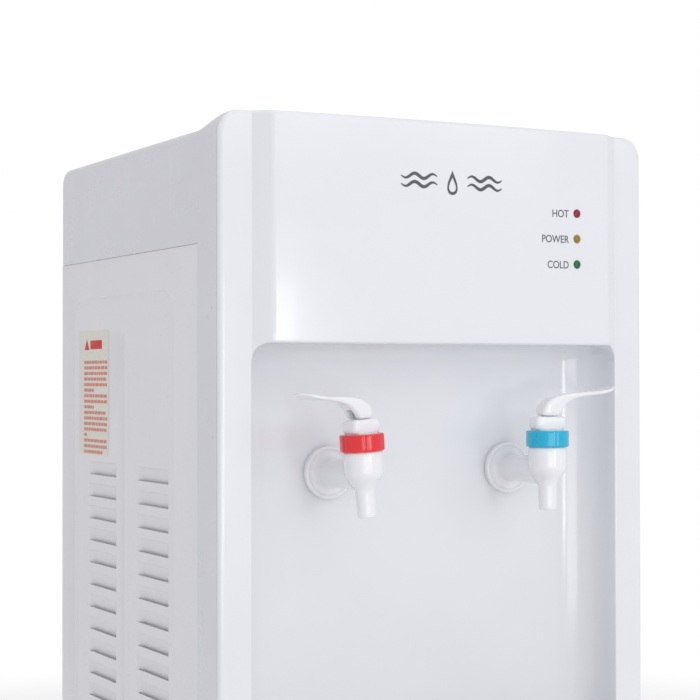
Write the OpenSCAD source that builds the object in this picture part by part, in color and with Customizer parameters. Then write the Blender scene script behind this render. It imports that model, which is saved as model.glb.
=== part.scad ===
// Countertop water dispenser with a hot tap and a cold tap, fed by a bottle that stands in its top.
// Millimetres. X runs to the right seen from the front, Y to the back and Z up.
// The origin is on the counter, under the middle of the whole machine.

/* [Cabinet] */
// Width of the cabinet
body_w = 310; // [306:1:316]
// Depth of the cabinet, from the front posts to the rear wall
body_d = 291; // [289:1:296]
// Height of the front brow above the counter
body_h = 510; // [508:1:516]
// Drop from the brow to the flat top
brow_drop = 8.6; // [6:0.2:10]
// Radius of the brow's two front corners
brow_r = 14; // [10:1:18]
// Wall thickness of the moulded panels
wall = 3; // [2.6:0.2:3.2]
// Thickness of the sheet steel panels
sheet = 1; // [0.8:0.1:1.2]
// Height of the rubber feet
foot_h = 8; // [7:0.5:9]

/* [Front panel] */
// Width of each front post
post_w = 21.8; // [20:0.2:24]
// How far the middle panel stands proud of the posts
panel_rise = 8; // [6:0.5:10]
// Width of the sloping flank beside the middle panel
flank_w = 10.8; // [9:0.2:13]
// How far the middle of that panel bows out past its edges
panel_bow = 4; // [2:0.5:6]
// Height of the underside of the middle panel
niche_top = 369.8; // [366:0.2:372]
// Depth of the niche behind the posts
niche_d = 32.5; // [28:0.5:35]
// Radius of the niche's upright corners
niche_r = 25; // [20:1:25]

/* [Taps] */
// Distance of each tap from the middle
tap_x = 66.8; // [64:0.2:70]
// Height of the tap shanks
tap_z = 288.8; // [284:0.2:294]
// How far the tap spouts stand in front of the posts
tap_out = 18.4; // [17:0.2:19]
// Lean of the hot tap to the left about its own shank, in degrees
hot_lean = 4; // [0:0.5:5]
// Direction of the hot lever, in degrees from the right
hot_turn = 195; // [181:1:270]
// Direction of the cold lever, in degrees from the right
cold_turn = -6; // [-90:1:-1]
// Length of a lever from the spout's axis
lever_len = 48; // [46:1:54]

/* [Drip tray] */
// How far the tray shelf stands in front of the posts
shelf_out = 56; // [54:1:60]
// Height of the shelf's top
shelf_top = 96; // [94:1:100]

/* [Hidden] */
$fn = 48;
half_w = body_w / 2;
rear_out = 13; // bumpers behind the rear wall
front_y = -(body_d + rear_out - shelf_out) / 2;
flat_top = body_h - brow_drop;
panel_bottom = foot_h + 14;
side_top = body_h - 78.8;
leg_d = 33; // depth of the moulded strip beside the front panel
inner_x = half_w - post_w;
face_x = inner_x - flank_w;
gap = 0.3; // clearance between pieces that move apart

// The bottle seat, the tanks and the cooler are placed from the posts' front plane.
seat_y = 160;
cold_y = 130;
hot_x = -62;
hot_y = 112;
fan_z = body_h - 162;

// Side panel field and louvres
field_y0 = 73.5;
field_y1 = 259;
field_z0 = 60;
field_z1 = 404;
field_r = 20;
louvre_y = [84, 179];
louvre_l = 56;
louvre_h = 9.3;
louvre_in = 5.5;
louvre_pitch = 15.6;
louvre_rows = 12;
louvre_top = 290;

// Rear panel fittings
drain_x = -95;
drain_z = 52;
gland_x = 100;
gland_z = 55;
switch_x = 85;
switch_z = [115, 145];
screw_spots = [for (x = [-144, 144]) for (z = [45, 170, 295, 415]) [x, z]];

// Indicator lamps, from the top down
lamp_x = 96.3;
lamp_z = [456, 439.3, 422.6];
lamp_r = 2.9;

// ---------------------------------------------------------------- helpers

function arc(c, r, a0, a1, n = 8) = [for (i = [0:n]) let (a = a0 + (a1 - a0) * i / n) c + r * [cos(a), sin(a)]];
function backwards(p) = [for (i = [len(p) - 1:-1:0]) p[i]];
function flipped(p) = [for (q = backwards(p)) [-q[0], q[1]]];
function smooth(t) = (1 - cos(180 * t)) / 2;

// Corner points of a rectangle from lo to hi with round corners.
function round_rect(lo, hi, r, n = 6) = concat(
  arc([hi[0] - r, hi[1] - r], r, 0, 90, n), arc([lo[0] + r, hi[1] - r], r, 90, 180, n),
  arc([lo[0] + r, lo[1] + r], r, 180, 270, n), arc([hi[0] - r, lo[1] + r], r, 270, 360, n)
);

// Places children in the cabinet's own frame, where Y is 0 on the front plane of the posts.
module from_front() {
  translate([0, front_y, 0]) children();
}

// Extrudes an (X, Z) outline along Y, and a (Y, Z) outline along X.
module along_y(y0, y1) {
  translate([0, y1, 0]) rotate([90, 0, 0]) linear_extrude(y1 - y0) children();
}
module along_x(x0, x1) {
  translate([x0, 0, 0]) rotate([90, 0, 90]) linear_extrude(x1 - x0) children();
}
module box(lo, hi) {
  translate(lo) cube(hi - lo);
}
module y_cylinder(p, r, l) {
  translate(p) rotate([-90, 0, 0]) cylinder(r = r, h = l);
}
module ring(r_in, r_out, h) {
  difference() {
    cylinder(r = r_out, h = h);
    translate([0, 0, -1]) cylinder(r = r_in, h = h + 2);
  }
}

// ---------------------------------------------------------------- front panel

// Plan of the posts and the niche, from the left post to the middle. t is the depth behind the show face.
function niche_face() = concat(
  arc([-half_w + 3, 3], 3, 180, 270, 4), arc([-inner_x - 1, 1], 1, 270, 360, 3),
  arc([-inner_x + niche_r, niche_d - niche_r], niche_r, 180, 90, 10)
);
function niche_back() = concat(
  [[-half_w + wall, 3]],
  arc([-inner_x + niche_r, niche_d - niche_r], niche_r + wall, 180 - asin((3 - niche_d + niche_r) / (niche_r + wall)), 90, 10)
);
// Plan of the posts and the proud middle panel.
function bow_y(x) = -panel_rise - panel_bow * (1 - pow(x / face_x, 2));
function brow_face() = concat(
  arc([-half_w + 3, 3], 3, 180, 270, 4), [[-inner_x, 0]], [for (i = [0:10]) let (x = -face_x * (1 - i / 10)) [x, bow_y(x)]]
);
function brow_back() = concat(
  [[-half_w + wall, 3], [-inner_x + 0.4, wall]],
  [for (i = [0:10]) let (x = (-face_x + 1) * (1 - i / 10)) [x, bow_y(x) + wall]]
);
// Front outline of the cabinet, with round top corners.
module front_outline(r, top) {
  polygon(concat(
    [[-half_w, 0], [half_w, 0]],
    arc([half_w - r, top - r], r, 0, 90, 8), arc([-half_w + r, top - r], r, 90, 180, 8)
  ));
}
module front_panel() color("white") from_front() difference() {
  intersection() {
    union() {
      translate([0, 0, panel_bottom]) linear_extrude(niche_top + wall - panel_bottom)
        polygon(concat(niche_face(), flipped(niche_face()), flipped(backwards(niche_back())), backwards(niche_back())));
      translate([0, 0, niche_top]) linear_extrude(body_h - niche_top)
        polygon(concat(brow_face(), flipped(brow_face()), flipped(backwards(brow_back())), backwards(brow_back())));
      translate([0, 0, niche_top]) linear_extrude(wall)
        polygon(concat(
          [[-inner_x, 1]], [for (p = brow_face()) if (p[0] >= -face_x) p], [for (p = flipped(brow_face())) if (p[0] <= face_x) p],
          [[inner_x, 1]], arc([inner_x - niche_r, niche_d - niche_r], niche_r + 1, 0, 90, 10),
          arc([-inner_x + niche_r, niche_d - niche_r], niche_r + 1, 90, 180, 10)
        ));
    }
    along_y(-panel_rise - panel_bow - 1, niche_d + wall + 1) front_outline(brow_r, body_h);
  }
  for (z = lamp_z) y_cylinder([lamp_x, -30, z], lamp_r + 0.05, 40);
  for (s = [-1, 1]) y_cylinder([s * tap_x, niche_d - 5, tap_z], 8.6, 12);
}

// ---------------------------------------------------------------- cabinet

// Height of the shell's top at depth y, less an inset.
function top_z(y, inset) = flat_top - inset + brow_drop * (1 - smooth(min(max((y - 8) / 32, 0), 1)));
function brow_curve(inset) = [for (i = [0:12]) let (y = 40 - 32 * i / 12) [y, top_z(y, inset)]];
function shell_outline() = concat(
  [[3, panel_bottom], [leg_d, panel_bottom], [leg_d, side_top], [body_d, side_top]],
  arc([body_d - 12, flat_top - 12], 12, 0, 90, 6), brow_curve(0), [[3, body_h]]
);
function shell_hollow() = concat(
  [[-1, 0], [body_d - wall, 0]], arc([body_d - 12, flat_top - 12], 12 - wall, 0, 90, 6),
  brow_curve(wall), [[-1, body_h - wall]]
);
module cabinet_shell() color("gainsboro") from_front() difference() {
  intersection() {
    along_x(-half_w, half_w) polygon(shell_outline());
    union() {
      along_y(0, 41) front_outline(brow_r, body_h);
      along_y(40, body_d + 1) front_outline(5, flat_top);
    }
  }
  along_x(-half_w + wall, half_w - wall) polygon(shell_hollow());
  translate([0, seat_y, flat_top - 10]) cylinder(r = 103, h = 20);
}

// One louvre pressed into the sheet. x goes inwards from the sheet's show face and z is 0 at the louvre's top.
module louvre_press() {
  along_y(-0.8, louvre_l + 0.8) polygon([[0, 0.8], [1, 0.8], [louvre_in + 1.2, -louvre_h], [0, -louvre_h]]);
}
module louvre_void() {
  along_y(0, louvre_l) polygon([
    [-0.5, 0], [-0.5, -louvre_h], [1.01, -louvre_h], [1.01, -louvre_h - 0.5], [louvre_in, -louvre_h - 0.5],
    [louvre_in, -louvre_h], [0, 0]
  ]);
}
// The left panel. The right one is its mirror image.
module side_panel() color("lightgray") from_front() translate([-half_w + 0.6, 0, 0]) {
  difference() {
    union() {
      difference() {
        box([0, leg_d + gap, panel_bottom + 0.2], [sheet, body_d - 0.6, side_top - 0.2]);
        along_x(-1, 2) polygon(round_rect([field_y0, field_z0], [field_y1, field_z1], field_r));
      }
      translate([sheet, 0, 0]) along_x(0, sheet)
        polygon(round_rect([field_y0 - 2, field_z0 - 2], [field_y1 + 2, field_z1 + 2], field_r));
      box([0, body_d - 0.6 - sheet, panel_bottom + 0.2], [16, body_d - 0.6, side_top - 1.2]);
      for (y = louvre_y, i = [0:louvre_rows - 1]) translate([sheet, y, louvre_top - i * louvre_pitch]) louvre_press();
    }
    for (y = louvre_y, i = [0:louvre_rows - 1]) translate([sheet, y, louvre_top - i * louvre_pitch]) louvre_void();
    for (p = screw_spots) if (p[0] < 0) y_cylinder([half_w - 0.6 + p[0], body_d - 3, p[1]], 1.8, 5);
  }
}
module left_side_panel() side_panel();
module right_side_panel() mirror([1, 0, 0]) side_panel();

module back_panel() color("silver") from_front() {
  y1 = body_d - 0.8 - sheet;
  difference() {
    box([-half_w + 4, y1 - sheet, panel_bottom + 2], [half_w - 4, y1, side_top - 1]);
    for (i = [-6:6]) {
      l = sqrt(46 * 46 - pow(i * 7, 2)) - 2;
      box([-l, y1 - 3, fan_z + i * 7 - 1.8], [l, y1 + 3, fan_z + i * 7 + 1.8]);
    }
    for (i = [0:9]) box([-60, y1 - 3, 90 + i * 9], [20, y1 + 3, 94 + i * 9]);
    y_cylinder([drain_x, y1 - 3, drain_z], 9.3, 6);
    y_cylinder([gland_x, y1 - 3, gland_z], 8.2, 6);
    for (z = switch_z) box([switch_x - 6.5, y1 - 3, z - 9.6], [switch_x + 6.5, y1 + 3, z + 9.6]);
    for (p = screw_spots) y_cylinder([p[0], y1 - 3, p[1]], 1.6, 6);
    for (x = [-110, 110]) y_cylinder([x, y1 - 3, 390], 3.1, 6);
  }
}
module back_panel_screws() color("dimgray") from_front() for (p = screw_spots) {
  y_cylinder([p[0], body_d - 9, p[1]], 1.5, 8.5);
  difference() {
    translate([p[0], body_d - 0.55, p[1]]) rotate([-90, 0, 0]) cylinder(r1 = 3.6, r2 = 2.4, h = 2);
    for (a = [0, 90]) translate([p[0], body_d + 1.6, p[1]]) rotate([0, a, 0]) cube([3.4, 1.2, 0.8], center = true);
  }
}
module rear_bumpers() color("dimgray") from_front() for (x = [-110, 110]) {
  y1 = body_d - 0.8 - sheet;
  y_cylinder([x, y1 - 8, 390], 3, 8.2);
  y_cylinder([x, y1 + 0.1, 390], 9, body_d + rear_out - y1 - 2.1);
  y_cylinder([x, body_d + rear_out - 2.05, 390], 7.5, 2.05);
}

// Front of the pan's well, behind the niche.
pan_y = niche_d + wall + 2;
module base_pan() color("whitesmoke") from_front() {
  difference() {
    translate([0, 0, foot_h]) linear_extrude(panel_bottom - 0.2 - foot_h) polygon(round_rect([-half_w, 0], [half_w, body_d], 4));
    box([-half_w + 4, pan_y, foot_h + 3], [half_w - 4, body_d - 4, panel_bottom + 1]);
    for (x = [-60, 60], y = [90:20:230]) box([x - 30, y, foot_h - 1], [x + 30, y + 6, foot_h + 4]);
  }
  difference() {
    box([-half_w + 4.5, pan_y, foot_h + 2.9], [half_w - 4.5, body_d - 4.5, panel_bottom + 12]);
    box([-half_w + 6.5, pan_y + 2, foot_h + 3], [half_w - 6.5, body_d - 6.5, panel_bottom + 13]);
    box([-half_w, body_d - 10, panel_bottom + 1], [half_w, body_d, panel_bottom + 13]);
  }
}
module rubber_feet() color("dimgray") from_front() for (x = [-128, 128], y = [28, body_d - 28]) translate([x, y, 0]) {
  cylinder(r1 = 9.5, r2 = 11, h = foot_h - 0.05);
}

// ---------------------------------------------------------------- bottle seat

module seat_frame() {
  from_front() translate([0, seat_y, flat_top]) children();
}
// Half section: rim, bowl and collar. Heights are from the flat top.
module bottle_seat() color("white") seat_frame() rotate_extrude($fn = 96) polygon([
  [110, gap], [109, 2.2], [107, 2.8], [103, 2.8], [84, -34], [60, -39], [38, -41.5], [36.5, -38], [36.5, -21.5],
  [35.5, -20.4], [32, -20.4], [31, -21.4], [31, -44.4], [34, -44.4], [60, -41.8], [85.4, -36.6], [101.5, gap]
]);
// Foam ring that the bottle's shoulder rests on.
module bottle_seat_gasket() color("dimgray") seat_frame() translate([0, 0, 2.9]) rotate_extrude($fn = 96)
  polygon(concat([[103.5, 0], [106.8, 0]], arc([105.2, 0.2], 1.6, 0, 180, 6)));
// Well under the collar, with the hollow spike that opens the bottle's cap and the outlet to the cold tank.
module feed_probe() color("white") seat_frame() difference() {
  rotate_extrude() polygon([
    [6, -104.4], [8.5, -104.4], [9, -103.4], [9, -75.4], [31, -73.1], [31.3, -46.7], [33.5, -46.7], [33.5, -44.7],
    [28.8, -44.7], [28.8, -70.4], [10.5, -72.4], [9, -69.8], [8.5, -50.8], [7, -46.3], [4, -44.8], [0, -44.8],
    [0, -46.8], [4, -47.2], [6, -50.8]
  ]);
  for (a = [0, 90]) rotate(a) translate([-15, -2, -61]) cube([30, 4, 9]);
}

// ---------------------------------------------------------------- drip tray

function shelf_plan(inset) = let (c = [inner_x - niche_r, niche_d - niche_r], x = inner_x - gap - inset, r = 45 - inset) concat(
  arc(c, niche_r - gap - inset, 90, 0, 8), [for (a = [0:-9:-90]) [x - r, -shelf_out + inset + r] + r * [cos(a), sin(a)]]
);
module shelf_slab(inset, z0, z1) {
  half = shelf_plan(inset);
  translate([0, 0, z0]) linear_extrude(z1 - z0) polygon(concat(half, flipped(half)));
}
tray_lo = [-112, -46];
tray_hi = [112, 18];
// A slab with round corners around the tray's recess, grown by g on all sides.
module tray_slab(g, z0, z1) {
  translate([0, 0, z0]) linear_extrude(z1 - z0) polygon(round_rect(tray_lo - [g, g], tray_hi + [g, g], 12 + g));
}
module drip_shelf() color("white") from_front() difference() {
  union() {
    difference() {
      shelf_slab(0, foot_h + 2, shelf_top);
      shelf_slab(2.5, foot_h + 1, shelf_top - 2.5);
    }
    tray_slab(2, shelf_top - 27, shelf_top - 1);
  }
  tray_slab(0, shelf_top - 25, shelf_top + 1);
  box([-half_w, -gap, 0], [half_w, 40, panel_bottom]);
}
module drip_tray() color("whitesmoke") from_front() difference() {
  union() {
    tray_slab(-0.7, shelf_top - 24, shelf_top + 1);
    tray_slab(4, shelf_top + gap, shelf_top + 2.2);
  }
  tray_slab(-2.7, shelf_top - 22, shelf_top - 1);
  tray_slab(-1.4, shelf_top - 1.2, shelf_top + 3);
}
module drip_grille() color("silver") from_front() difference() {
  tray_slab(-2, shelf_top - 0.8, shelf_top + 2.4);
  for (i = [-12:12]) translate([0, 0, shelf_top - 5]) linear_extrude(20)
    polygon(round_rect([i * 8.2 - 2, -38], [i * 8.2 + 2, -17], 1.9, 3));
  for (i = [-12:12]) translate([0, 0, shelf_top - 5]) linear_extrude(20)
    polygon(round_rect([i * 8.2 - 2, -11], [i * 8.2 + 2, 10], 1.9, 3));
}

// ---------------------------------------------------------------- indicator lamps

module lamp(z) from_front() translate([lamp_x, bow_y(lamp_x), z]) rotate([90, 0, 0]) rotate_extrude()
  polygon(concat([[0, -9], [3.6, -9], [3.6, -wall - 0.6], [lamp_r, -wall - 0.6]], arc([0, -1.6], lamp_r, 0, 90, 8)));
module lamp_hot() color("firebrick") lamp(lamp_z[0]);
module lamp_power() color("goldenrod") lamp(lamp_z[1]);
module lamp_cold() color("seagreen") lamp(lamp_z[2]);
module lamp_board() color("darkgreen") from_front() {
  y0 = bow_y(lamp_x) + 9.1;
  box([lamp_x - 9, y0, lamp_z[2] - 12], [lamp_x + 9, y0 + 1.6, lamp_z[0] + 12]);
  box([lamp_x - 5, y0 + 1.6, lamp_z[2] - 10], [lamp_x + 5, y0 + 7, lamp_z[2] - 2]);
}

// ---------------------------------------------------------------- taps

// A tap's own frame: Z is its spout's axis, +Y points along the shank into the cabinet, and Z is 0 on the shank.
panel_y = tap_out + niche_d;
module hot_tap() {
  from_front() translate([-tap_x, -tap_out, tap_z]) rotate([0, -hot_lean, 0]) children();
}
module cold_tap() {
  from_front() translate([tap_x, -tap_out, tap_z]) children();
}
module tap_body() difference() {
  union() {
    rotate_extrude($fn = 64) polygon(concat(
      [[0, 21], [11, 21], [11, 15.2], [12.3, 14.6], [12.5, 10], [12.4, 4]],
      [for (i = [1:10]) let (t = i / 10) [12.2 - 6 * smooth(t), 2 - 12 * t]],
      [[6.1, -14], [5.8, -24.8], [5.4, -25.2], [0, -25.2]]
    ));
    y_cylinder([0, 0, 0], 8.5, panel_y - 4);
    y_cylinder([0, panel_y - 4.8, 0], 16.8, 3.2);
    y_cylinder([0, panel_y - 2, 0], 8.2, 18.6);
    y_cylinder([0, panel_y + 16, 0], 5.2, 12);
    translate([0, panel_y + 25, 0]) rotate([-90, 0, 0]) cylinder(r1 = 6, r2 = 4.6, h = 3);
  }
  translate([0, 0, -3]) cylinder(r = 8.6, h = 30);
  translate([0, 0, -8.2]) cylinder(r1 = 3.4, r2 = 8.6, h = 5.21);
  translate([0, 0, -30]) cylinder(r = 3.4, h = 30);
  y_cylinder([0, 2, 0], 4, panel_y + 40);
}
module tap_washer() difference() {
  y_cylinder([0, panel_y - 1.5, 0], 16.2, 1.45);
  y_cylinder([0, panel_y - 5, 0], 8.3, 10);
}
module tap_lock_nut() difference() {
  translate([0, panel_y + wall + 0.1, 0]) rotate([-90, 0, 0]) {
    cylinder(r = 14, h = 7.5, $fn = 6);
    cylinder(r = 15, h = 1.5);
  }
  y_cylinder([0, panel_y - 5, 0], 8.3, 30);
}
module tap_ring() difference() {
  translate([0, 0, 15.3]) cylinder(r = 13.7, h = 10.5);
  for (a = [0:60:300]) rotate(a + 10) translate([14.3, 0, 10]) cylinder(r = 1.2, h = 20);
  translate([0, 0, 10]) cylinder(r = 11.1, h = 14.1);
  translate([0, 0, 20]) cylinder(r = 10 + gap + 0.05, h = 10);
}
module guide_block(inset, z0, z1) {
  translate([0, 0, z0]) linear_extrude(z1 - z0) offset(2.5 - inset, $fn = 24) square([16.5, 8.5], center = true);
}
// Cap that carries the stem and turns with the lever. Its slot takes the stem's tongue.
module tap_guide(turn) rotate(turn) difference() {
  union() {
    translate([0, 0, 21 + gap]) cylinder(r = 10.75, h = 2.5);
    translate([0, 0, 23.7]) cylinder(r = 10, h = 2.5);
    guide_block(0, 25.8 + gap, 33.9);
    guide_block(0.8, 33.8, 34.9);
  }
  translate([0, 0, 15]) cylinder(r = 3.08, h = 30);
  translate([-4.2, -3.4, 27.5]) cube([8.4, 6.8, 10]);
}
pin_z = 41;
module tap_stem(turn) rotate(turn) difference() {
  union() {
    translate([0, 0, -0.9]) cylinder(r = 3, h = 31);
    translate([0, 0, 4]) cylinder(r = 6.8, h = 1.6);
    translate([-3, -2.4, 30]) cube([6, 4.8, pin_z - 30]);
    y_cylinder([0, -2.4, pin_z], 3, 4.8);
  }
  y_cylinder([0, -5, pin_z], 1.52, 10);
}
module tap_seal() difference() {
  union() {
    translate([0, 0, -2.6]) cylinder(r = 7.6, h = 2.6);
    translate([0, 0, -0.1]) cylinder(r = 5, h = 4);
    translate([0, 0, -6.4]) cylinder(r1 = 4.6, r2 = 7.6, h = 3.9);
  }
  translate([0, 0, -1]) cylinder(r = 3.05, h = 10);
}
module tap_pin(turn) rotate(turn) y_cylinder([0, -5.6, pin_z], 1.5, 11.2);

// Side profile of a lever: u along the lever and z up.
lever_top = [[-5.8, 38.5], [-4.6, 41.3], [-2, 44], [1.5, 46.2], [6, 48], [12, 49.2], [20, 50], [32, 51], [lever_len - 6, 52.8]];
lever_under = [[lever_len - 6, 50.7], [32, 48.7], [21, 47.2], [15, 45], [10.8, 42.2], [8.4, 39.6], [6.2, 36.6], [5.2, 35.25]];
module lever_plan() {
  polygon(concat(
    arc([lever_len - 10, 0], 10, -70, 70, 10), [[30, 7.2], [18, 5.2], [9, 6.6]],
    arc([-1, 0], 6.6, 90, 270, 8), [[9, -6.6], [18, -5.2], [30, -7.2]]
  ));
}
module tap_lever(turn) rotate(turn) difference() {
  intersection() {
    rotate([90, 0, 0]) translate([0, 0, -12]) linear_extrude(24)
      polygon(concat(lever_top, arc([lever_len - 1, 53.2], 1, 90, -90, 4), lever_under, [[-5.6, 35.25]]));
    translate([0, 0, 30]) linear_extrude(30) lever_plan();
  }
  translate([-3.4, -2.7, 30]) cube([14, 5.4, pin_z - 30 + 0.2]);
  y_cylinder([0, -2.7, pin_z], 3.4, 5.4);
  y_cylinder([0, -12, pin_z], 1.6, 24);
}

// Ring i of a tube of radius r about the centre line p, in the frame of the line's own direction.
function unit(v) = v / norm(v);
function heading(p, i) = unit(p[min(i + 1, len(p) - 1)] - p[max(i - 1, 0)]);
function side_of(d) = unit(abs(d[2]) > 0.9 ? cross(d, [0, 1, 0]) : cross(d, [0, 0, 1]));
// Turns the first side direction along the line without twist.
function carried(p, i = 0, s = undef, out = []) = i == len(p) ? out :
  let (d = heading(p, i), raw = i == 0 ? side_of(d) : s - (s * d) * d, next = unit(raw)) carried(p, i + 1, next, concat(out, [next]));
function tube_rings(p, r, n) = let (s = carried(p)) [
  for (i = [0:len(p) - 1]) let (d = heading(p, i), w = cross(d, s[i])) for (k = [0:n - 1]) p[i] + r * (cos(360 * k / n) * s[i] + sin(360 * k / n) * w)
];
// Faces between rings, wound outwards. base is the first point's index.
function tube_skin(rings, n, base) = [
  for (i = [0:rings - 2]) for (k = [0:n - 1]) let (a = base + i * n + k, b = base + i * n + (k + 1) % n) [a, a + n, b + n, b]
];
module solid_tube(p, r, n = 8) {
  m = len(p);
  polyhedron(tube_rings(p, r, n), concat(
    tube_skin(m, n, 0), [[for (k = [0:n - 1]) k]], [[for (k = [n - 1:-1:0]) (m - 1) * n + k]]
  ));
}
module hollow_tube(p, r_out, r_in, n = 10) {
  m = len(p);
  b = m * n;
  polyhedron(concat(tube_rings(p, r_out, n), tube_rings(p, r_in, n)), concat(
    tube_skin(m, n, 0), [for (f = tube_skin(m, n, b)) backwards(f)],
    [for (k = [0:n - 1]) let (j = (k + 1) % n) [k, j, b + j, b + k]],
    [for (k = [0:n - 1]) let (j = (k + 1) % n, e = (m - 1) * n) [e + j, e + k, b + e + k, b + e + j]]
  ));
}
// Return spring: closed end turns and open turns between them.
module tap_spring() {
  turns = 6;
  z0 = 6.5;
  z1 = 20.2;
  steps = 14 * turns;
  solid_tube([for (i = [0:steps]) let (t = i / steps) [5.4 * cos(360 * turns * t), 5.4 * sin(360 * turns * t), z0 + (z1 - z0) * t]], 0.55, 6);
}

module hot_tap_body() color("white") hot_tap() tap_body();
module hot_tap_ring() color("crimson") hot_tap() tap_ring();
module hot_tap_guide() color("white") hot_tap() tap_guide(hot_turn);
module hot_tap_stem() color("whitesmoke") hot_tap() tap_stem(hot_turn);
module hot_tap_seal() color("gainsboro") hot_tap() tap_seal();
module hot_tap_spring() color("silver") hot_tap() tap_spring();
module hot_tap_lever() color("white") hot_tap() tap_lever(hot_turn);
module hot_tap_pin() color("silver") hot_tap() tap_pin(hot_turn);
module cold_tap_body() color("white") cold_tap() tap_body();
module cold_tap_ring() color("deepskyblue") cold_tap() tap_ring();
module cold_tap_guide() color("white") cold_tap() tap_guide(cold_turn);
module cold_tap_stem() color("whitesmoke") cold_tap() tap_stem(cold_turn);
module cold_tap_seal() color("gainsboro") cold_tap() tap_seal();
module cold_tap_spring() color("silver") cold_tap() tap_spring();
module cold_tap_lever() color("white") cold_tap() tap_lever(cold_turn);
module cold_tap_pin() color("silver") cold_tap() tap_pin(cold_turn);
module tap_washers() color("whitesmoke") {
  hot_tap() tap_washer();
  cold_tap() tap_washer();
}
module tap_lock_nuts() color("gray") {
  hot_tap() tap_lock_nut();
  cold_tap() tap_lock_nut();
}

// ---------------------------------------------------------------- tanks

cold_r = 62;
cold_z0 = 290;
cold_z1 = 404;
cold_foam_r = 74;
cold_port = [[40, 95], [12, 84]]; // to the cold tap, and down to the hot tank
port_r = 4.6;
module cold_tank() color("silver") from_front() difference() {
  union() {
    translate([0, cold_y, cold_z0]) cylinder(r = cold_r, h = cold_z1 - cold_z0);
    translate([0, cold_y, cold_z1 - 1.2]) cylinder(r = cold_r + 4, h = 1.2);
    for (p = cold_port) translate([p[0], p[1], 256]) cylinder(r = port_r, h = 40);
  }
  translate([0, cold_y, cold_z0 + 1]) cylinder(r = cold_r - 1, h = 200);
  for (p = cold_port) translate([p[0], p[1], 250]) cylinder(r = port_r - 1.2, h = 50);
}
module cold_tank_lid() color("whitesmoke") from_front() difference() {
  union() {
    translate([0, cold_y, cold_z1 + 0.1]) cylinder(r = cold_r + 4, h = 4);
    translate([0, cold_y, cold_z1 - 6]) cylinder(r = cold_r - 1.3, h = 6.2);
    translate([0, seat_y, cold_z1 + 4]) cylinder(r = 13, h = 6);
    translate([-42, 128, cold_z1 + 4]) cylinder(r = port_r, h = 12);
  }
  translate([0, cold_y, cold_z1 - 7]) cylinder(r = cold_r - 4, h = 5);
  translate([0, seat_y, cold_z1 - 9]) cylinder(r = 9.6, h = 30);
  translate([-42, 128, cold_z1 - 9]) cylinder(r = 3.2, h = 30);
}
module cold_tank_foam() color("lightgray") from_front() difference() {
  translate([0, cold_y, cold_z0 - 18]) cylinder(r = cold_foam_r, h = cold_z1 - cold_z0 + 16);
  translate([0, cold_y, cold_z0 - 0.3]) cylinder(r = cold_r + 0.3, h = 200);
  for (p = cold_port) translate([p[0], p[1], 250]) cylinder(r = 5.2, h = 50);
  box([-24, cold_y + 40, fan_z - 24], [24, cold_y + 90, fan_z + 24]);
}
module tank_bracket() color("silver") from_front() difference() {
  union() {
    box([-136, 106, 270.4], [136, 224, 271.6]);
    for (x = [-136, 134.8]) box([x, 106, foot_h + 3.1], [x + 1.2, 224, 271]);
    for (x = [-136, 118]) box([x, 106, foot_h + 3.1], [x + 18, 224, foot_h + 4.3]);
  }
  for (x = [-150, 120], z = [80:50:230]) translate([x, 130, z]) cube([40, 70, 26]);
}

hot_r = 44;
hot_z0 = 98;
hot_z1 = 236;
hot_ports = [[-62, 88], [-86, 96]]; // to the hot tap, and the vent
module hot_tank() color("silver") from_front() difference() {
  union() {
    translate([hot_x, hot_y, hot_z0]) cylinder(r = hot_r, h = hot_z1 - hot_z0);
    for (p = hot_ports) translate([p[0], p[1], hot_z1 - 1]) cylinder(r = port_r, h = 22);
    translate([hot_x, hot_y, hot_z0 - 24]) cylinder(r = port_r, h = 25);
    translate([hot_x, hot_y, hot_z0 + 12]) rotate([0, 90, 0]) cylinder(r = port_r, h = 65.5);
  }
  translate([hot_x, hot_y, hot_z0 + 1]) cylinder(r = hot_r - 1, h = hot_z1 - hot_z0 - 2);
  for (p = hot_ports) translate([p[0], p[1], hot_z1 - 3]) cylinder(r = 3.4, h = 30);
  translate([hot_x, hot_y, hot_z0 - 30]) cylinder(r = 3.4, h = 33);
  translate([hot_x + 30, hot_y, hot_z0 + 12]) rotate([0, 90, 0]) cylinder(r = 3.4, h = 50);
}
module hot_tank_foam() color("lightgray") from_front() difference() {
  translate([hot_x, hot_y, hot_z0 - 12]) cylinder(r = 60, h = hot_z1 - hot_z0 + 24);
  translate([hot_x, hot_y, hot_z0 - 0.3]) cylinder(r = hot_r + 4.5, h = hot_z1 - hot_z0 + 0.6);
  for (p = hot_ports) translate([p[0], p[1], hot_z1 - 3]) cylinder(r = 5, h = 40);
  translate([hot_x, hot_y, hot_z0 - 30]) cylinder(r = 5, h = 33);
  translate([hot_x + 30, hot_y, hot_z0 + 12]) rotate([0, 90, 0]) cylinder(r = 5, h = 50);
}
module hot_tank_stand() color("silver") from_front() difference() {
  union() {
    translate([hot_x, hot_y, hot_z0 - 14.2]) cylinder(r = 58, h = 2);
    for (a = [45:90:315]) translate([hot_x + 46 * cos(a), hot_y + 46 * sin(a), foot_h + 3.1]) cylinder(r = 5, h = hot_z0 - 14 - foot_h - 3.1);
  }
  translate([hot_x, hot_y, 0]) cylinder(r = 12, h = 200);
}
module heater_band() color("darkgray") from_front() {
  translate([hot_x, hot_y, hot_z0 + 30]) ring(hot_r + 0.1, hot_r + 2.4, 44);
  translate([hot_x, hot_y - hot_r - 3.2, hot_z0 + 40]) cube([8, 1.5, 20], center = true);
}
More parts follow.
